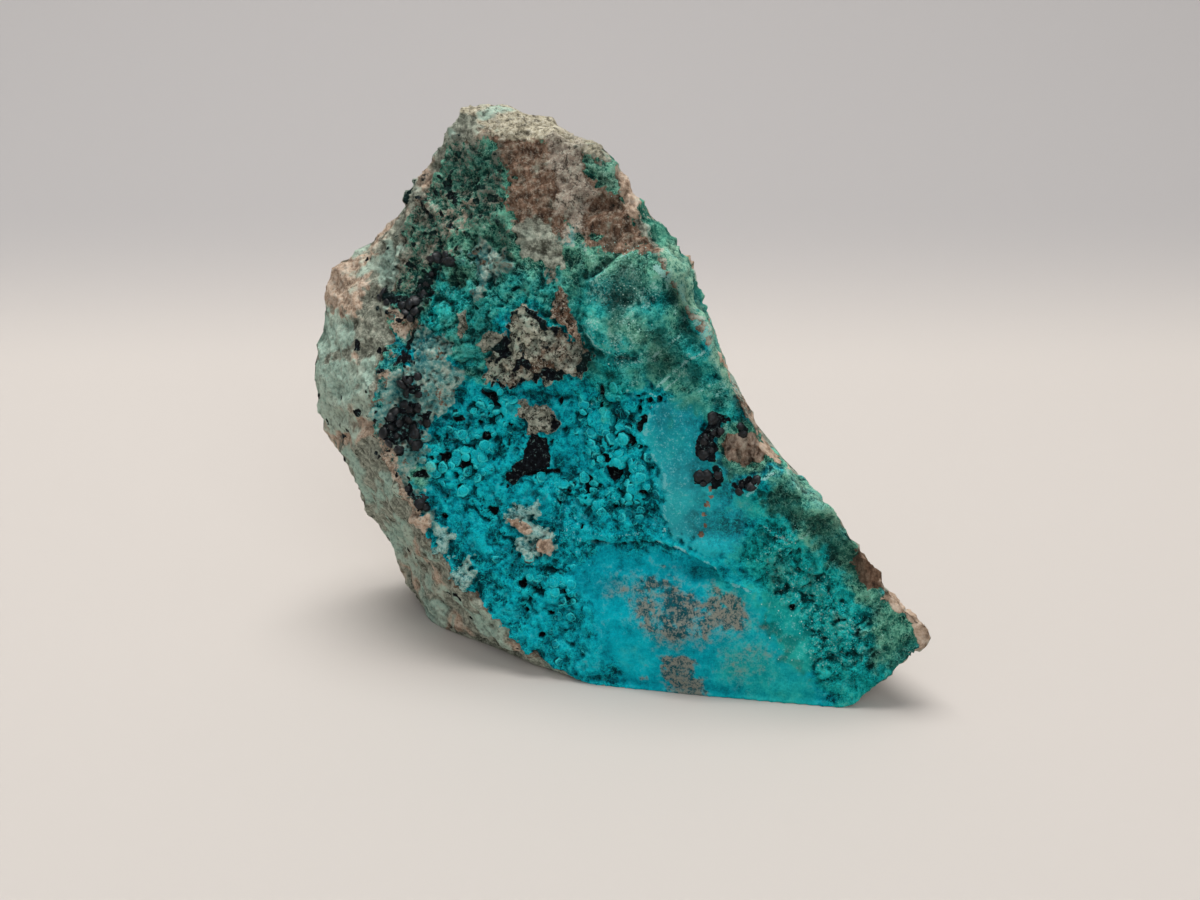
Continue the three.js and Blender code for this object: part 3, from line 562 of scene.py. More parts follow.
frill = np.clip(np.maximum(0.7 * zone["globesUpper"], 0.9 * frills) - solid, 0, 1) * face
calm = slab + 0.7 * anyOf("flank", "rimGreen") + 0.9 * below + 0.35 * zone["upperRight"] + 0.45 * zone["tip"]
calm = np.clip(calm + 0.35 * drape - 0.8 * frill, 0, 1)
# small lumps of three kinds, where the minerals are mixed
clots = [ramp(waves(spots, 1.7, seed) + 0.3 * small, 0.22, 0.34) for seed in (61, 62, 63)]

# carving, in mm along the normal
globe = np.clip(domes(spots, normals, rock["globeSize"], 5, skip=0.10), -0.9, 1.5) / 1.5
froth = np.clip(domes(spots, normals, rock["frillSize"], 6, skip=0.12), -0.3, 0.6) / 0.6
folded = 1 - 2 * np.abs(waves(spots, 13.0, 31))
chips = 1 - 2 * np.abs(waves(spots, 5.0, 32) + 0.2 * mid)
rough = np.clip(1 - 0.7 * slab - 0.75 * below - 0.45 * zone["tip"] - 0.45 * ball, 0.15, 1)
clefts = ramp(np.abs(waves(spots, 2.6, 41) + 0.25 * small), 0.05, 0.01)
clefts = clefts * ramp(waves(spots, 4.5, 42), 0.15, 0.4)
pinholes = ramp(waves(spots, 1.3, 43) + 0.4 * tiny, 0.66, 0.8)
pits = np.maximum(clefts, pinholes) * np.clip(ball + 0.2 * frill, 0, 1)
for a, u, radius in pitSpots:
    out = spotsNear(a, u, radius * (1 + 0.35 * math.sin(7 * a)), radius * (1 + 0.35 * math.cos(5 * u)))
    pits = np.maximum(pits, ramp(out - 0.7 * (mid + small), 1.0, 0.6) * seen)

height = -rock["sink"] + 0.35 * broad * (1 - 0.6 * face)
height = height + bare * (1.0 * (folded - 0.5) + 0.6 * (chips - 0.5))
shell = 1 - 2 * np.abs(waves(spots * (1, 1, 0.6), 7.0, 33) + 0.15 * mid)  # curved ribs of glassy crust
height = height + 0.6 * face * (chips - 0.5) * (1 - 0.8 * calm) + 0.45 * lump * face * (1 - 0.6 * below)
height = height + (shell - 0.5) * most(0.9 * zone["upperRight"], 0.6 * zone["tip"], 0.7 * drape) * (1 - slab)
height = height + rough * (0.34 * mid + 0.26 * small + 0.16 * tiny) * (1 + 0.6 * zone["cheek"] + islands)
height = height + 0.3 * zone["cheek"] * (clots[0] + clots[1] - 0.6)
height = height + ball * (rock["globeRise"] * (globe - 0.45) + 0.1 * froth)
height = height + frill * (0.7 * (globe - 0.5) + 0.3 * froth)
height = height + 0.14 * froth * np.clip(1 - ball - frill - calm, 0, 1) * face
height = height + 0.5 * slab + 0.4 * islands - 0.35 * zone["wedge"] + 0.9 * nuggets
height = height + 0.4 * (clots[0] - clots[2]) * zone["island"]
height = height + (0.25 + 0.4 * froth) * np.maximum(crusts, 0.7 * pales)
height = height + 0.5 * blacks * (0.6 + 0.5 * froth) - 0.8 * hollows + 0.3 * zone["knobTop"]
height = height - 0.25 * zone["disc"] + 0.3 * zone["rimGreen"]
for a, u, halfWidth, halfHeight, rise in mounds.values():
    out = spotsNear(a, u, halfWidth, halfHeight) + 0.25 * lump + 0.15 * mid
    height = height + rise * np.exp(-1.2 * np.maximum(out, 0) ** 2) * seen
away, side = besideLine(x + 0.5 * mid, z + 0.5 * lump, placeOf(ledgeLine))
lip = 0.25 * np.exp(-away / 1.5)
drop = np.where(side < 0, -lip - 0.3 * np.exp(-(away / 6) ** 2), lip) * seen
height = height + drop * ramp(x, -10, 0) * ramp(x, 30, 20) * ramp(z, 10, 14) * (1 - 0.4 * ramp(x, 6, 14))
frostAndRidgeHighlight, cracks = np.zeros(len(x)), np.zeros(len(x))
for way, width, rise, white, dark in lines.values():
    away, side = besideLine(x, z, placeOf(way))
    along = np.exp(-((away + 0.25 * edgeNoise) / width) ** 2) * seen
    height = height + rise * along
    # pale frost along each ridge and lip, partly a painted highlight where its edge catches the light
    ridgeHighlight = white * np.exp(-(away / width / 0.8) ** 2) * seen
    frostAndRidgeHighlight = np.maximum(frostAndRidgeHighlight, ridgeHighlight * ramp(mid + small, -0.5, 0.3))
    cracks = np.maximum(cracks, dark * along)
pits = np.maximum(pits, cracks)
height = height - rock["pitDepth"] * np.maximum(pits - cracks, 0)
height = np.clip(height, -rock["deepest"], rock["proudest"]) * ramp(z, 0, rock["footing"])
dent = height - softened(height, ends, 10)
bulge = height - softened(height, ends, 80)

shape = spots + normals * height[:, None]
shape[z < 0.06, 2] = 0
shape = np.clip(shape, np.array(low) / mm, np.array(high) / mm)
print("rock carved", round(float(height.min()), 2), "to", round(float(height.max()), 2), "mm")

# what the finish reads, from 0 to 1 at each point
mossy = waves(spots, 7.5, 51) + 0.5 * mid
rusty = waves(spots, 8.5, 52) + 0.5 * mid
sooty = waves(spots, 2.4, 53) + 0.4 * small + 0.35 * waves(spots, 9, 54)
noFace = ramp(bare, 0.05, 0.5) - zone["flank"]
rusts = np.zeros(len(x))
for a, u, radius in rustSpots:
    rusts = np.maximum(rusts, ramp(spotsNear(a, u, radius, radius) - 0.8 * small, 1.3, 0.8) * seen)
standing = ramp(z, 1, 2.5)  # nothing grows at the very foot
paint = dict(
    teal=most(
        zones(upperRight=1, tip=0.9, flank=1, edgeGreen=1, globesUpper=1, duskLeft=0.7), 0.5 * frill,
        0.3 * slab, ramp(upShare, 0.60, 0.76), 0.5 * below * ramp(x, 6, 24),
    ),
    green=most(
        zones(knobTop=1, cheek=0.9, crown=0.9, crownTop=0.9, discEdge=0.9, greenHollow=0.9, edgeGreen=0.9,
              duskLeft=0.8, tipGreen=0.75, flank=0.75, rimGreen=0.75, hollowNear=0.6, frostKnob=0.5,
              globesUpper=0.36),
        ramp(upShare, 0.64, 0.80), 1.5 * (1 - seen), zone["upperRight"] * (0.32 + 0.2 * ramp(x, 0, 12)),
        ramp(spots[:, 1], 0, 9) * ramp(x, 14, 20),
    ),
    calm=calm,
    slab=slab * (0.45 + 0.55 * ramp(upShare, 0.47, 0.36)),
    # pale frost crust, with painted highlights along ridges and lips
    frostAndRidgeHighlight=most(
        zones(frostKnob=0.6, cheek=0.3, globesUpper=0.38, lace=0.42, knobTop=0.6, crownSeam=0.4),
        1.3 * frostAndRidgeHighlight, 0.55 * pales, 0.8 * crusts, 0.5 * frills, 0.33 * ball, 0.52 * slab,
        zone["upperRight"] * (0.18 + 0.42 * ramp(waves(spots, 3.5, 55), 0.0, 0.4)),
    ),
    crust=most(
        zones(crownSeam=0.6, paleLow=0.75), 0.78 * pales, crusts, clots[0] * zones(cheek=0.4, duskLeft=0.6),
    ),
    matrix=most(
        anyOf("crown", "crownTop", "disc", "tipBrown", "tipTan", "tanRim", "orangeLine"), noFace, islands,
        nuggets, 0.7 * rims, rusts, zone["cheek"] * (0.46 + 0.3 * mossy),
        clots[1] * zones(cheekTan=0.6, duskLeft=0.5), 0.5 * pales * clots[2],
    ) - 0.35 * zone["crownSeam"],
    khaki=most(
        bare - anyOf("tanRim", "tipBrown", "tipTan"), zones(khakiTongue=1, cheek=0.6, disc=0.3),
        0.75 * islands - 0.6 * zone["islandBrown"] - 0.7 * zone["islandSpur"],
    ),
    light=most(
        zones(crownTop=1, tanKnob=0.5),
        islandHeart * (0.45 + 0.6 * ramp(mid + small, -0.3, 0.4)) - 0.6 * zone["islandBrown"],
    ),
    tan=most(
        zones(tanRim=1, orangeLine=1, tanKnob=1, orangeSide=1, tipTan=1, islandBrown=0.35), rims, nuggets,
        bare * ramp(rusty, 0.0, 0.7), 0.7 * zone["cheekTan"] * clots[1],
    ),
    grey=zones(crownStripe=1, disc=0.4),
    mint=most(zones(mintUpper=1, mintLower=1, crown=0.2, island=0.42), bare * ramp(mossy, -0.15, 0.55)),
    # black: tenorite patches and dark grains, and the pits and cracks painted black as shade inside them
    black=most(
        zones(wedge=1, blackMain=0.9, rimSoot=0.7), blacks * (0.6 + 0.35 * ramp(sooty, -0.3, 0.2)), pits,
        (0.8 * bare - anyOf("crownTop", "flank", "edgeGreen", "rimGreen", "tanRim")) * ramp(sooty, 0.5, 0.8),
        zone["island"] * (0.2 + 0.7 * ramp(sooty + 1.2 * (0.8 - islandHeart), 0.15, 0.55)),
        clots[2] * zones(cheek=0.6, duskLeft=0.7, island=0.5), zone["cross"] * 0.75 * ramp(x, -11.5, -9.5),
    ),
    stain=stains,
    soot=anyOf("stainDarkLeft", "stainDarkRight") * ramp(mid + small, -0.6, 0.2),
    grains=most(
        zones(crownStripe=0.8, crown=0.35, crownTop=0.7, cheek=0.5), islands, 0.4 * bare, 0.8 * rims,
    ),
    # painted shade: darker in small dents and broad hollows of the carving
    hollowShade=(-2.2 * dent - 0.3 * bulge) * (1 - 0.6 * below),
    # painted highlight: higher on small bumps and crests of the carving
    crestLight=2.6 * dent,
    # painted light and shade: lighter on broad bulges, darker in broad dips, and under the ledge lighter
    # towards the foot, so darker just below the lip
    swell=0.5 + (0.45 - 0.25 * zone["upperRight"]) * bulge + below * (0.07 + 0.10 * ramp(z, 26, 8)),
    haze=most(
        zones(rimGreen=1, tipEdge=0.7, frostKnob=0.25, knobTop=0.55, edgeGreen=0.4),
        0.4 * zone["cheek"] * (1 - zone["cheekDark"]) * ramp(mid, -0.2, 0.5),
    ),
    shade=most(
        zones(crownSide=1.2, knobTop=0.4), 0.7 * hollows,
        0.8 * zone["cheek"] * ramp(lump + small, -0.3, 0.4),
        1.3 * zone["cheekDark"] * ramp(mid + small, -0.7, 0.3),
        0.7 * zone["upperRight"] * ramp(shell, 0.55, 0.1),
        0.6 * zone["frillBand"] * ramp(mid + small, 0.0, 0.6),
        0.7 * zone["globesUpper"] * ramp(lump + small, -0.1, 0.5),
    ),
    globes=(globeZone * (0.06 + nests) * (1 - pits) - crusts - pales - nuggets - islands - 3 * zone["wedge"]
            - 3 * blacks) * standing,
    beads=(blacks - zone["wedge"] - 0.15) * standing,
    flecks=most(zones(frostKnob=0.5, knobTop=0.2), 0.3 * crusts, 0.15 * frills) * face * standing,
)
mesh.vertices.foreach_set("co", (shape * mm).astype(np.float32).ravel())
for name, value in paint.items():
    attribute = mesh.attributes.new(name, "FLOAT", "POINT")
    attribute.data.foreach_set("value", np.clip(value, 0, 1).astype(np.float32))
mesh.update()


def thinned(mesh, triangles, weight):  # fewer triangles where weight is high
    lump = bpy.data.objects.new("thick", mesh)
    scene.collection.objects.link(lump)
    group = lump.vertex_groups.new(name="thin")
    level = np.round(weight, 1)
    for value in np.unique(level):
        group.add(np.where(level == value)[0].tolist(), float(value), "REPLACE")
    thin = lump.modifiers.new("thin", "DECIMATE")
    thin.ratio = triangles / (2 * len(mesh.polygons))
    thin.use_collapse_triangulate = True
    thin.vertex_group = "thin"
    result = bpy.data.meshes.new_from_object(lump.evaluated_get(bpy.context.evaluated_depsgraph_get()))
    bpy.data.objects.remove(lump)
    at = readNumbers(result.vertices, "co", 3)
    at[:, 2] = np.maximum(at[:, 2], 0)  # none below the base
    result.vertices.foreach_set("co", at.ravel())
    result.shade_smooth()
    return result


specimen = bpy.data.objects.new("chrysocollaRock", thinned(mesh, rock["triangles"], 1 - 0.75 * seen))
scene.collection.objects.link(specimen)
print("rock thinned to", len(specimen.data.polygons), "triangles")

# the finish of the rock: copper minerals, matrix rock, tenorite
finish = dict(
    cyan=["004a57", "0094a6", "00c0d0"],
    teal=["024f4e", "06908c", "2fbcaf"],
    green=["0c362f", "266d5d", "6bb89c"],
    line="1fd2d4",
    ring="43e4e4",
    greenLine="8fd0b4",
    frostAndRidgeHighlight="c4ded2",
    crust=["2f777c", "6fa39c", "bccdbd"],
    haze="9cc7ab",
    glaze="86d2d6",
    plate="4fb0ae",
    brown=["3a2e27", "745b4a", "a08672"],
    khaki=["53554a", "949a8b", "bcc2b0"],
    light=["837d6b", "bcb49c", "dcd5c0"],
    tan=["86705d", "c4ac96", "dccab7"],
    grey="b5ab9c",
    mint="aed0c0",
    stain=["1b1d1e", "5f5a50", "8d7d6b"],
    tenorite=["0b0c0f", "1a1e24", "6f8f88"],
    paleGrain="c9c6b4",
    hollowShade="00171a",
    darkRockAndShade="16120f",
    shade="082a26",
    bead=["06080a", "101418", "2c363d"],
    fleck=["4fb0a8", "86cfc6", "c4e6dc"],
)


def linear(text):  # a hex colour as the shader wants it
    parts = [int(text[i:i + 2], 16) / 255 for i in (0, 2, 4)]
    return tuple(c / 12.92 if c < 0.04 else ((c + 0.055) / 1.055) ** 2.4 for c in parts)


class Finish:  # adds and joins the nodes of one material
    def __init__(self, name):
        self.material = bpy.data.materials.new(name)
        self.material.use_nodes = True
        self.tree = self.material.node_tree
        self.shader = self.tree.nodes["Principled BSDF"]
        self.coords = self.tree.nodes.new("ShaderNodeTexCoord").outputs["Object"]

    def fill(self, socket, value):
        if isinstance(value, bpy.types.NodeSocket):
            self.tree.links.new(value, socket)
        elif isinstance(value, str):
            socket.default_value = (*linear(value), 1)
        elif isinstance(value, tuple):
            socket.default_value = (*value, 1) if socket.type == "RGBA" else value
        else:
            socket.default_value = value

    def math(self, operation, *values):
        node = self.tree.nodes.new("ShaderNodeMath")
        node.operation = operation
        for socket, value in zip(node.inputs, values):
            self.fill(socket, value)
        return node.outputs[0]

    def times(self, a, b):
        return self.math("MULTIPLY", a, b)

    def sum(self, *parts):  # pairs of (value, weight)
        total = None
        for value, weight in parts:
            part = self.times(value, weight)
            total = part if total is None else self.math("ADD", total, part)
        return total

    def noise(self, size, detail=2.0, roughness=0.5, stretch=None):  # size in mm
        node = self.tree.nodes.new("ShaderNodeTexNoise")
        vector = self.coords
        if stretch:
            mapping = self.tree.nodes.new("ShaderNodeMapping")
            self.fill(mapping.inputs["Vector"], vector)
            mapping.inputs["Scale"].default_value = stretch
            vector = mapping.outputs[0]
        self.fill(node.inputs["Vector"], vector)
        self.fill(node.inputs["Scale"], 1 / (size * mm))
        self.fill(node.inputs["Detail"], detail)
        self.fill(node.inputs["Roughness"], roughness)
        return node.outputs["Fac"]

    def step(self, value, start, end):  # 0 before start, 1 after end
        node = self.tree.nodes.new("ShaderNodeMapRange")
        node.interpolation_type = "SMOOTHSTEP"
        self.fill(node.inputs["Value"], value)
        self.fill(node.inputs["From Min"], start)
        self.fill(node.inputs["From Max"], end)
        return node.outputs["Result"]

    def mix(self, factor, a, b):
        node = self.tree.nodes.new("ShaderNodeMix")
        node.data_type = "RGBA"
        self.fill(node.inputs["Factor"], factor)
        self.fill(node.inputs[6], a)
        self.fill(node.inputs[7], b)
        return node.outputs[2]

    def tones(self, value, colours, stops=(0.36, 0.5, 0.66)):
        node = self.tree.nodes.new("ShaderNodeValToRGB")
        self.fill(node.inputs["Fac"], value)
        ends = node.color_ramp.elements
        while len(ends) < len(colours):
            ends.new(0.5)
        for stop, place, colour in zip(ends, stops, colours):
            stop.position = place
            stop.color = (*linear(colour), 1)
        return node.outputs["Color"]

    def attribute(self, name):
        node = self.tree.nodes.new("ShaderNodeAttribute")
        node.attribute_name = name
        return node.outputs["Fac"]

    def edged(self, name, noise, width=0.12, amount=0.5):  # an attribute with its edge broken up by a noise
        shift = self.times(self.math("SUBTRACT", noise, 0.5), amount)
        return self.step(self.math("ADD", self.attribute(name), shift), 0.5 - width, 0.5 + width)

    def line(self, noise, width):  # thin lines where a noise passes its middle
        return self.step(self.math("ABSOLUTE", self.math("SUBTRACT", noise, 0.5)), width, 0.0)


def copperColour(f, cloud, speck, dust, flake):  # chrysocolla from cyan to green, with painted highlights on edges and crests and painted shade in hollows
    blotch = f.noise(8, 4, 0.6)
    web = f.noise(1.5, 4, 0.55)
    busy = f.math("SUBTRACT", 1.0, f.attribute("calm"))
    crestLight, swell = f.attribute("crestLight"), f.attribute("swell")
    grit = f.sum((cloud, 0.4), (speck, 0.35), (dust, 0.25))
    lively = f.sum((busy, 0.7), (1.0, 0.3))
    # the painted light on bulges shifts the tone
    shift = f.sum((swell, 0.26), (blotch, 0.22), (1.0, 0.26))
    tone = f.sum((f.times(grit, lively), 1.4), (lively, -0.7), (shift, 1.0))
    stops = (0.41, 0.50, 0.60)
    cyan = f.tones(tone, finish["cyan"], stops)
    teal = f.tones(tone, finish["teal"], stops)
    green = f.tones(tone, finish["green"], stops)
    colour = f.mix(f.edged("teal", blotch, 0.4, 1.2), cyan, teal)
    isGreen = f.edged("green", blotch, 0.35, 1.6)
    colour = f.mix(isGreen, colour, green)
    line = f.mix(isGreen, finish["line"], finish["greenLine"])
    colour = f.mix(f.times(f.line(web, 0.026), f.sum((busy, 0.75), (1.0, 0.15))), colour, line)
    # painted highlights: bright lines along the crests of the carving
    colour = f.mix(f.times(f.line(speck, 0.025), f.sum((busy, 0.35), (crestLight, 0.5))), colour, line)
    litCrests = f.times(crestLight, f.step(dust, 0.42, 0.58))
    colour = f.mix(f.times(litCrests, f.sum((busy, 0.5), (1.0, 0.15))), colour, line)
    # painted shade: dark gaps scattered between the globules by a noise
    gapShade = f.times(f.step(flake, 0.56, 0.68), f.sum((busy, 0.4), (1.0, 0.05)))
    colour = f.mix(gapShade, colour, finish["hollowShade"])
    crust = f.tones(f.sum((cloud, 0.5), (speck, 0.5)), finish["crust"], (0.4, 0.5, 0.6))
    colour = f.mix(f.edged("crust", f.sum((cloud, 0.4), (speck, 0.6)), 0.15, 1.8), colour, crust)
    # frost crust and painted ridge highlights, broken up by fine noise
    snow = f.math("ADD", f.attribute("frostAndRidgeHighlight"), f.sum((speck, 1.4), (dust, 1.6), (1.0, -1.5)))
    snowColour = f.mix(f.times(busy, 0.8), finish["glaze"], finish["frostAndRidgeHighlight"])
    colour = f.mix(f.times(f.step(snow, 0.6, 0.9), 0.6), colour, snowColour)
    colour = f.mix(f.times(f.attribute("slab"), 0.3), colour, finish["plate"])
    veil = f.times(f.attribute("haze"), f.step(f.sum((speck, 0.6), (dust, 0.4)), 0.36, 0.62))
    colour = f.mix(veil, colour, finish["haze"])
    # painted shade in the carving's hollows
    hollows = f.times(f.attribute("hollowShade"), f.sum((busy, 0.4), (1.0, 0.45)))
    return f.mix(hollows, colour, finish["hollowShade"])


def matrixColour(f, cloud, speck, dust, flake):  # brown, khaki, tan and mint rock with dark and pale grains
    streak = f.noise(1.1, 6, 0.68, (1.0, 1.0, 0.4))
    grit = f.sum((speck, 0.7), (dust, 0.3))
    mixed = f.sum((cloud, 0.45), (grit, 0.55))
    stops = (0.40, 0.50, 0.60)
    colour = f.tones(f.sum((streak, 0.6), (grit, 0.2), (cloud, 0.2)), finish["brown"], stops)
    colour = f.mix(f.edged("khaki", cloud, 0.25, 1.4), colour, f.tones(mixed, finish["khaki"], stops))
    colour = f.mix(f.edged("light", cloud, 0.25, 1.2), colour, f.tones(grit, finish["light"], stops))
    colour = f.mix(f.edged("tan", cloud, 0.3, 1.4), colour, f.tones(mixed, finish["tan"], stops))
    grey = f.edged("grey", f.sum((streak, 0.5), (speck, 0.5)), 0.4, 2.6)
    colour = f.mix(f.times(grey, f.times(grit, 1.3)), colour, finish["grey"])
    mint = f.edged("mint", cloud, 0.3, 1.6)
    colour = f.mix(f.times(mint, f.times(grit, 1.5)), colour, finish["mint"])
    grains = f.attribute("grains")
    darkGrains = f.times(f.step(flake, 0.51, 0.58), f.times(grains, 0.9))
    colour = f.mix(darkGrains, colour, finish["darkRockAndShade"])
    paleGrains = f.times(f.step(f.sum((dust, 0.5), (speck, 0.5)), 0.51, 0.57), f.times(grains, 0.75))
    colour = f.mix(paleGrains, colour, finish["paleGrain"])
    # painted shade in hollows, in the dark rock colour that also colours the dark grains
    return f.mix(f.times(f.attribute("hollowShade"), 0.65), colour, finish["darkRockAndShade"])


def stoneBump(f, speck, dust):
    froth = f.tree.nodes.new("ShaderNodeTexVoronoi")
    froth.feature = "SMOOTH_F1"
    f.fill(froth.inputs["Vector"], f.coords)
    f.fill(froth.inputs["Scale"], 1 / (0.75 * mm))
    bump = f.tree.nodes.new("ShaderNodeBump")
    busy = f.math("SUBTRACT", 1.0, f.attribute("calm"))
    cells = f.times(froth.outputs["Distance"], f.times(busy, -0.6))
    fine = f.times(f.sum((speck, 1.2), (dust, 0.9)), f.sum((busy, 0.75), (1.0, 0.25)))
    f.fill(bump.inputs["Height"], f.math("ADD", fine, cells))
    bump.inputs["Strength"].default_value = 0.8
    bump.inputs["Distance"].default_value = 0.34 * mm
    f.fill(f.shader.inputs["Normal"], bump.outputs["Normal"])


def rockFinish():
    f = Finish("copper stained rock")
    cloud = f.noise(2.6, 6, 0.62)
    speck = f.noise(0.9, 6, 0.66)
    dust = f.noise(0.3, 3, 0.62)
    flake = f.noise(0.85, 6, 0.7)
    copper = copperColour(f, cloud, speck, dust, flake)
    matrix = matrixColour(f, cloud, speck, dust, flake)
    colour = f.mix(f.edged("matrix", f.sum((speck, 0.6), (dust, 0.4)), 0.15, 2.4), copper, matrix)
    cloudy = f.sum((speck, 1.1), (dust, 0.7), (f.attribute("soot"), -0.10), (1.0, -0.37))
    stain = f.tones(cloudy, finish["stain"], (0.40, 0.50, 0.58))
    stained = f.edged("stain", f.sum((cloud, 0.5), (speck, 0.5)), 0.45, 2.2)
    colour = f.mix(f.times(stained, 0.85), colour, stain)
    soot = f.tones(f.sum((flake, 0.6), (dust, 0.4)), finish["tenorite"], (0.45, 0.56, 0.64))
    colour = f.mix(f.edged("black", speck, 0.12, 1.2), colour, soot)
    colour = f.mix(f.times(f.attribute("shade"), 0.65), colour, finish["shade"])
    stoneBump(f, speck, dust)
    f.fill(f.shader.inputs["Base Color"], colour)
    f.fill(f.shader.inputs["Roughness"], f.sum((1.0, 0.45), (dust, 0.3)))
    f.shader.inputs["Specular IOR Level"].default_value = 0.04
    return f.material


def globeFinish():
    f = Finish("chrysocolla globules")
    cloud = f.noise(2.6, 6, 0.62)
    speck = f.noise(0.9, 6, 0.66)
    dust = f.noise(0.3, 3, 0.62)
    colour = copperColour(f, cloud, speck, dust, f.noise(0.55, 5, 0.66))
    crest = f.math("ADD", f.attribute("crest"), f.times(f.math("SUBTRACT", speck, 0.5), 0.8))
    # painted rim light: a bright ring round each globule's side
    ring = f.times(f.step(crest, 0.3, 0.45), f.step(crest, 0.7, 0.52))
    colour = f.mix(f.times(ring, 0.8), colour, finish["ring"])
    # painted shade at the foot of each globule, where it meets the rock
    colour = f.mix(f.times(f.step(crest, 0.4, 0.1), 0.85), colour, finish["hollowShade"])
    stoneBump(f, speck, dust)
    f.fill(f.shader.inputs["Base Color"], colour)
    f.fill(f.shader.inputs["Roughness"], f.sum((1.0, 0.4), (dust, 0.3)))
    f.shader.inputs["Specular IOR Level"].default_value = 0.1
    return f.material


specimen.data.materials.clear()
specimen.data.materials.append(rockFinish())
print("rock finished")


# small shapes that grow all over a zone of the rock: globules, tenorite beads, drusy flecks
def growthTree():
    tree = bpy.data.node_groups.new("growth", "GeometryNodeTree")
    tree.is_modifier = True
    sockets = tree.interface
    sockets.new_socket("Rock", in_out="INPUT", socket_type="NodeSocketGeometry")
    kinds = dict(Zone="String", Seed="Int", Finish="Material")
    for name in "Zone Spacing Density Smallest Largest Squash Sink Roughen Seed Finish".split():
        sockets.new_socket(name, in_out="INPUT", socket_type="NodeSocket" + kinds.get(name, "Float"))
    sockets.new_socket("Growth", in_out="OUTPUT", socket_type="NodeSocketGeometry")
    nodes, links = tree.nodes, tree.links
    given = nodes.new("NodeGroupInput").outputs

    def add(kind, settings=None, **inputs):  # a node, its inputs by name, or i0, i1... by number
        node = nodes.new(kind)
        for key, value in (settings or {}).items():
            setattr(node, key, value)
        for key, value in inputs.items():
            socket = node.inputs[int(key[1:]) if key[1:].isdigit() else key.replace("_", " ")]
            if isinstance(value, bpy.types.NodeSocket):
                links.new(value, socket)
            else:
                socket.default_value = value
        return node

    zone = add("GeometryNodeInputNamedAttribute", dict(data_type="FLOAT"), Name=given["Zone"])
    spread = add("GeometryNodeDistributePointsOnFaces", dict(distribute_method="POISSON"),
                 Mesh=given["Rock"], Distance_Min=given["Spacing"], Density_Max=given["Density"],
                 Density_Factor=zone.outputs["Attribute"], Seed=given["Seed"])
    ball = add("GeometryNodeMeshUVSphere", Segments=8, Rings=5, Radius=1.0)
    place = add("GeometryNodeInputPosition")
    upward = add("ShaderNodeSeparateXYZ", Vector=place.outputs[0])
    crest = add("GeometryNodeStoreNamedAttribute", dict(data_type="FLOAT", domain="POINT"),
                Geometry=ball.outputs["Mesh"], Name="crest", Value=upward.outputs["Z"])
    size = add("FunctionNodeRandomValue", dict(data_type="FLOAT"), i2=given["Smallest"],
               i3=given["Largest"], Seed=given["Seed"])
    flat = add("ShaderNodeMath", dict(operation="MULTIPLY"), i0=size.outputs[1], i1=given["Squash"])
    scale = add("ShaderNodeCombineXYZ", X=size.outputs[1], Y=size.outputs[1], Z=flat.outputs[0])
    copies = add("GeometryNodeInstanceOnPoints", Points=spread.outputs["Points"], Instance=crest.outputs[0],
                 Rotation=spread.outputs["Rotation"], Scale=scale.outputs[0])
    down = add("ShaderNodeMath", dict(operation="MULTIPLY"), i0=given["Sink"], i1=-1.0)
    drop = add("ShaderNodeCombineXYZ", Z=down.outputs[0])
    sunk = add("GeometryNodeTranslateInstances", Instances=copies.outputs[0],
               Translation=drop.outputs[0], Local_Space=True)
    real = add("GeometryNodeRealizeInstances", Geometry=sunk.outputs[0])
    wobble = add("ShaderNodeTexNoise", Vector=place.outputs[0], Scale=1 / (1.1 * mm), Detail=2.0)
    centred = add("ShaderNodeVectorMath", dict(operation="SUBTRACT"), i0=wobble.outputs["Color"],
                  i1=(0.5, 0.5, 0.5))
    moved = add("ShaderNodeVectorMath", dict(operation="SCALE"), i0=centred.outputs[0],
                Scale=given["Roughen"])
    bent = add("GeometryNodeSetPosition", Geometry=real.outputs[0], Offset=moved.outputs[0])
    smooth = add("GeometryNodeSetShadeSmooth", Geometry=bent.outputs[0], Shade_Smooth=True)
    done = add("GeometryNodeSetMaterial", Geometry=smooth.outputs[0], Material=given["Finish"])
    links.new(done.outputs[0], nodes.new("NodeGroupOutput").inputs["Growth"])
    return tree


growths = dict(
    chrysocollaGlobes=dict(Zone="globes", Spacing=1.1 * mm, Density=1.4e6, Smallest=0.3 * mm,
                           Largest=1.2 * mm, Squash=0.85, Sink=0.5, Roughen=1.0 * mm, Seed=4),
    tenoriteBeads=dict(Zone="beads", Spacing=1.1 * mm, Density=2e6, Smallest=0.5 * mm, Largest=1.3 * mm,
                       Squash=0.42, Sink=0.3, Roughen=0.6 * mm, Seed=7),
    drusyFlecks=dict(Zone="flecks", Spacing=0.4 * mm, Density=3e6, Smallest=0.05 * mm, Largest=0.13 * mm,
                     Squash=0.8, Sink=0.0, Roughen=0.12 * mm, Seed=9),
)


def beadFinish():
    f = Finish("tenorite")
    speck = f.noise(0.5, 3, 0.6)
    f.fill(f.shader.inputs["Base Color"], f.tones(speck, finish["bead"], (0.4, 0.55, 0.7)))
    f.fill(f.shader.inputs["Roughness"], f.sum((1.0, 0.3), (speck, 0.3)))
    f.shader.inputs["Specular IOR Level"].default_value = 0.35
    return f.material


def fleckFinish():
    f = Finish("drusy quartz")
    speck = f.noise(0.7, 2, 0.6)
    f.fill(f.shader.inputs["Base Color"], f.tones(speck, finish["fleck"], (0.4, 0.5, 0.6)))
    f.shader.inputs["Roughness"].default_value = 0.35
    return f.material


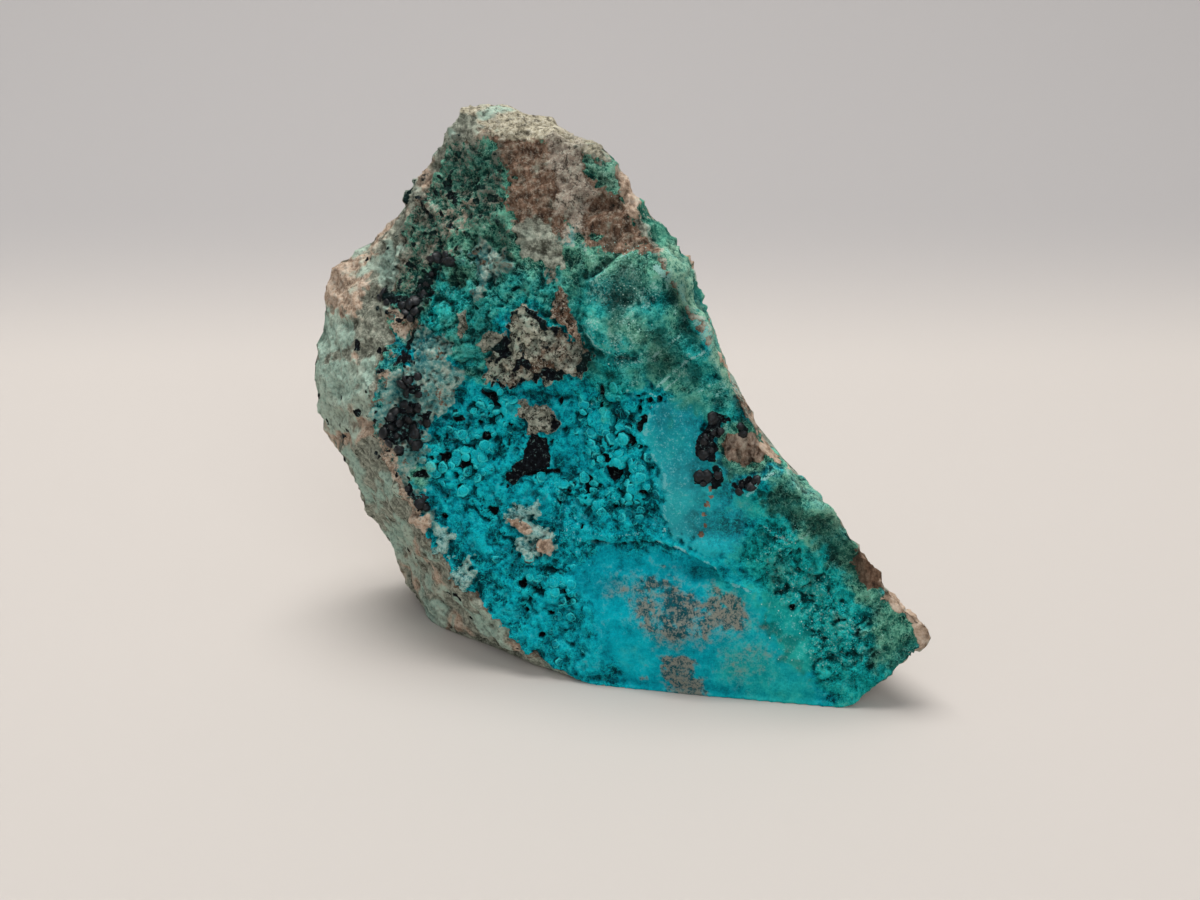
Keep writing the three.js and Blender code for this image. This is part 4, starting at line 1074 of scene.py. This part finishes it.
def grown(name, settings, material):
    host = bpy.data.objects.new(name, specimen.data)
    scene.collection.objects.link(host)
    modifier = host.modifiers.new("growth", "NODES")
    modifier.node_group = growth
    names = {item.name: item.identifier for item in growth.interface.items_tree if item.in_out == "INPUT"}
    for key, value in dict(settings, Finish=material).items():
        modifier[names[key]] = value
    mesh = bpy.data.meshes.new_from_object(host.evaluated_get(bpy.context.evaluated_depsgraph_get()))
    bpy.data.objects.remove(host)
    piece = bpy.data.objects.new(name, mesh)
    scene.collection.objects.link(piece)
    mesh.calc_loop_triangles()
    print(name, len(mesh.loop_triangles), "triangles")
    return piece


growth = growthTree()
finishes = dict(chrysocollaGlobes=globeFinish(), tenoriteBeads=beadFinish(), drusyFlecks=fleckFinish())
pieces = [specimen] + [grown(name, settings, finishes[name]) for name, settings in growths.items()]

# the room: floor and backdrop in one sweep, soft light from above, and the camera
room = dict(
    floorColour="cac4be",
    # the upright part of the sweep takes a darker colour than the floor: painted shade
    shadedWallColour="adaaa9",
    sweepStart=0.085,  # m behind the specimen
    sweepRadius=0.25,
    halfWidth=1.2,
    front=-1.0,
    top=1.6,
    skyColour=(0.97, 0.98, 1.0),
    skyStrength=0.36,
    cameraDistance=0.283,
    cameraTilt=24,
    cameraAim=(-0.0156, 0.30, 0.428),  # shares of the specimen's box: right of its middle, deep, up
    lens=50,
)
lights = dict(  # place in m, width in m, power in W, colour
    overhead=((-0.08, 0.22, 0.85), 0.6, 8.5, (1.0, 0.98, 0.96)),
    fill=((0.2, -0.75, 0.65), 0.7, 2.2, (0.98, 0.99, 1.0)),
)


def sweep():  # floor that curves up into a wall
    start = high.y + room["sweepStart"]
    radius = room["sweepRadius"]
    turns = np.linspace(0, math.pi / 2, 25)
    bend = [(start + radius * math.sin(a), radius - radius * math.cos(a)) for a in turns]
    profile = [(room["front"], 0)] + bend + [(start + radius, room["top"])]
    points = [(sx * room["halfWidth"], y, height) for y, height in profile for sx in (-1, 1)]
    faces = [(2 * i, 2 * i + 1, 2 * i + 3, 2 * i + 2) for i in range(len(profile) - 1)]
    mesh = bpy.data.meshes.new("sweep")
    mesh.from_pydata(points, [], faces)
    mesh.shade_smooth()
    floor = bpy.data.objects.new("sweep", mesh)
    scene.collection.objects.link(floor)
    f = Finish("paper sweep")
    split = f.tree.nodes.new("ShaderNodeSeparateXYZ")
    f.fill(split.inputs[0], f.coords)
    # painted shade: the sweep turns darker where it rises into the wall
    back = f.step(split.outputs["Y"], start + 0.01, start + 0.10)
    f.fill(f.shader.inputs["Base Color"], f.mix(back, room["floorColour"], room["shadedWallColour"]))
    f.shader.inputs["Roughness"].default_value = 0.9
    f.shader.inputs["Specular IOR Level"].default_value = 0.1
    mesh.materials.append(f.material)
    return floor


def areaLight(name, place, aim, size, power, colour):
    data = bpy.data.lights.new(name, "AREA")
    data.shape = "DISK"
    data.size = size
    data.energy = power
    data.color = colour
    lamp = bpy.data.objects.new(name, data)
    lamp.location = place
    lamp.rotation_euler = (Vector(aim) - Vector(place)).to_track_quat("-Z", "Y").to_euler()
    scene.collection.objects.link(lamp)


floor = sweep()
heart = (low + high) / 2
for name, (place, width, power, colour) in lights.items():
    areaLight(name, place, heart, width, power, colour)
world = bpy.data.worlds.new("room")
world.use_nodes = True
sky = world.node_tree.nodes["Background"]
sky.inputs["Color"].default_value = (*room["skyColour"], 1)
sky.inputs["Strength"].default_value = room["skyStrength"]
scene.world = world
scene.view_settings.view_transform = "Standard"

across, deep, up = room["cameraAim"]
aim = Vector((heart.x + across * span.x, low.y + deep * span.y, low.z + up * span.z))
tilt = math.radians(room["cameraTilt"])
camera = bpy.data.objects.new("camera", bpy.data.cameras.new("camera"))
camera.data.lens = room["lens"]
camera.data.clip_start = 0.01
camera.location = aim + room["cameraDistance"] * Vector((0, -math.cos(tilt), math.sin(tilt)))
camera.rotation_euler = (math.radians(90) - tilt, 0, 0)
scene.collection.objects.link(camera)
scene.camera = camera

for piece in pieces:
    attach(piece, "root")
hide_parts("chrysocolla_specimen")
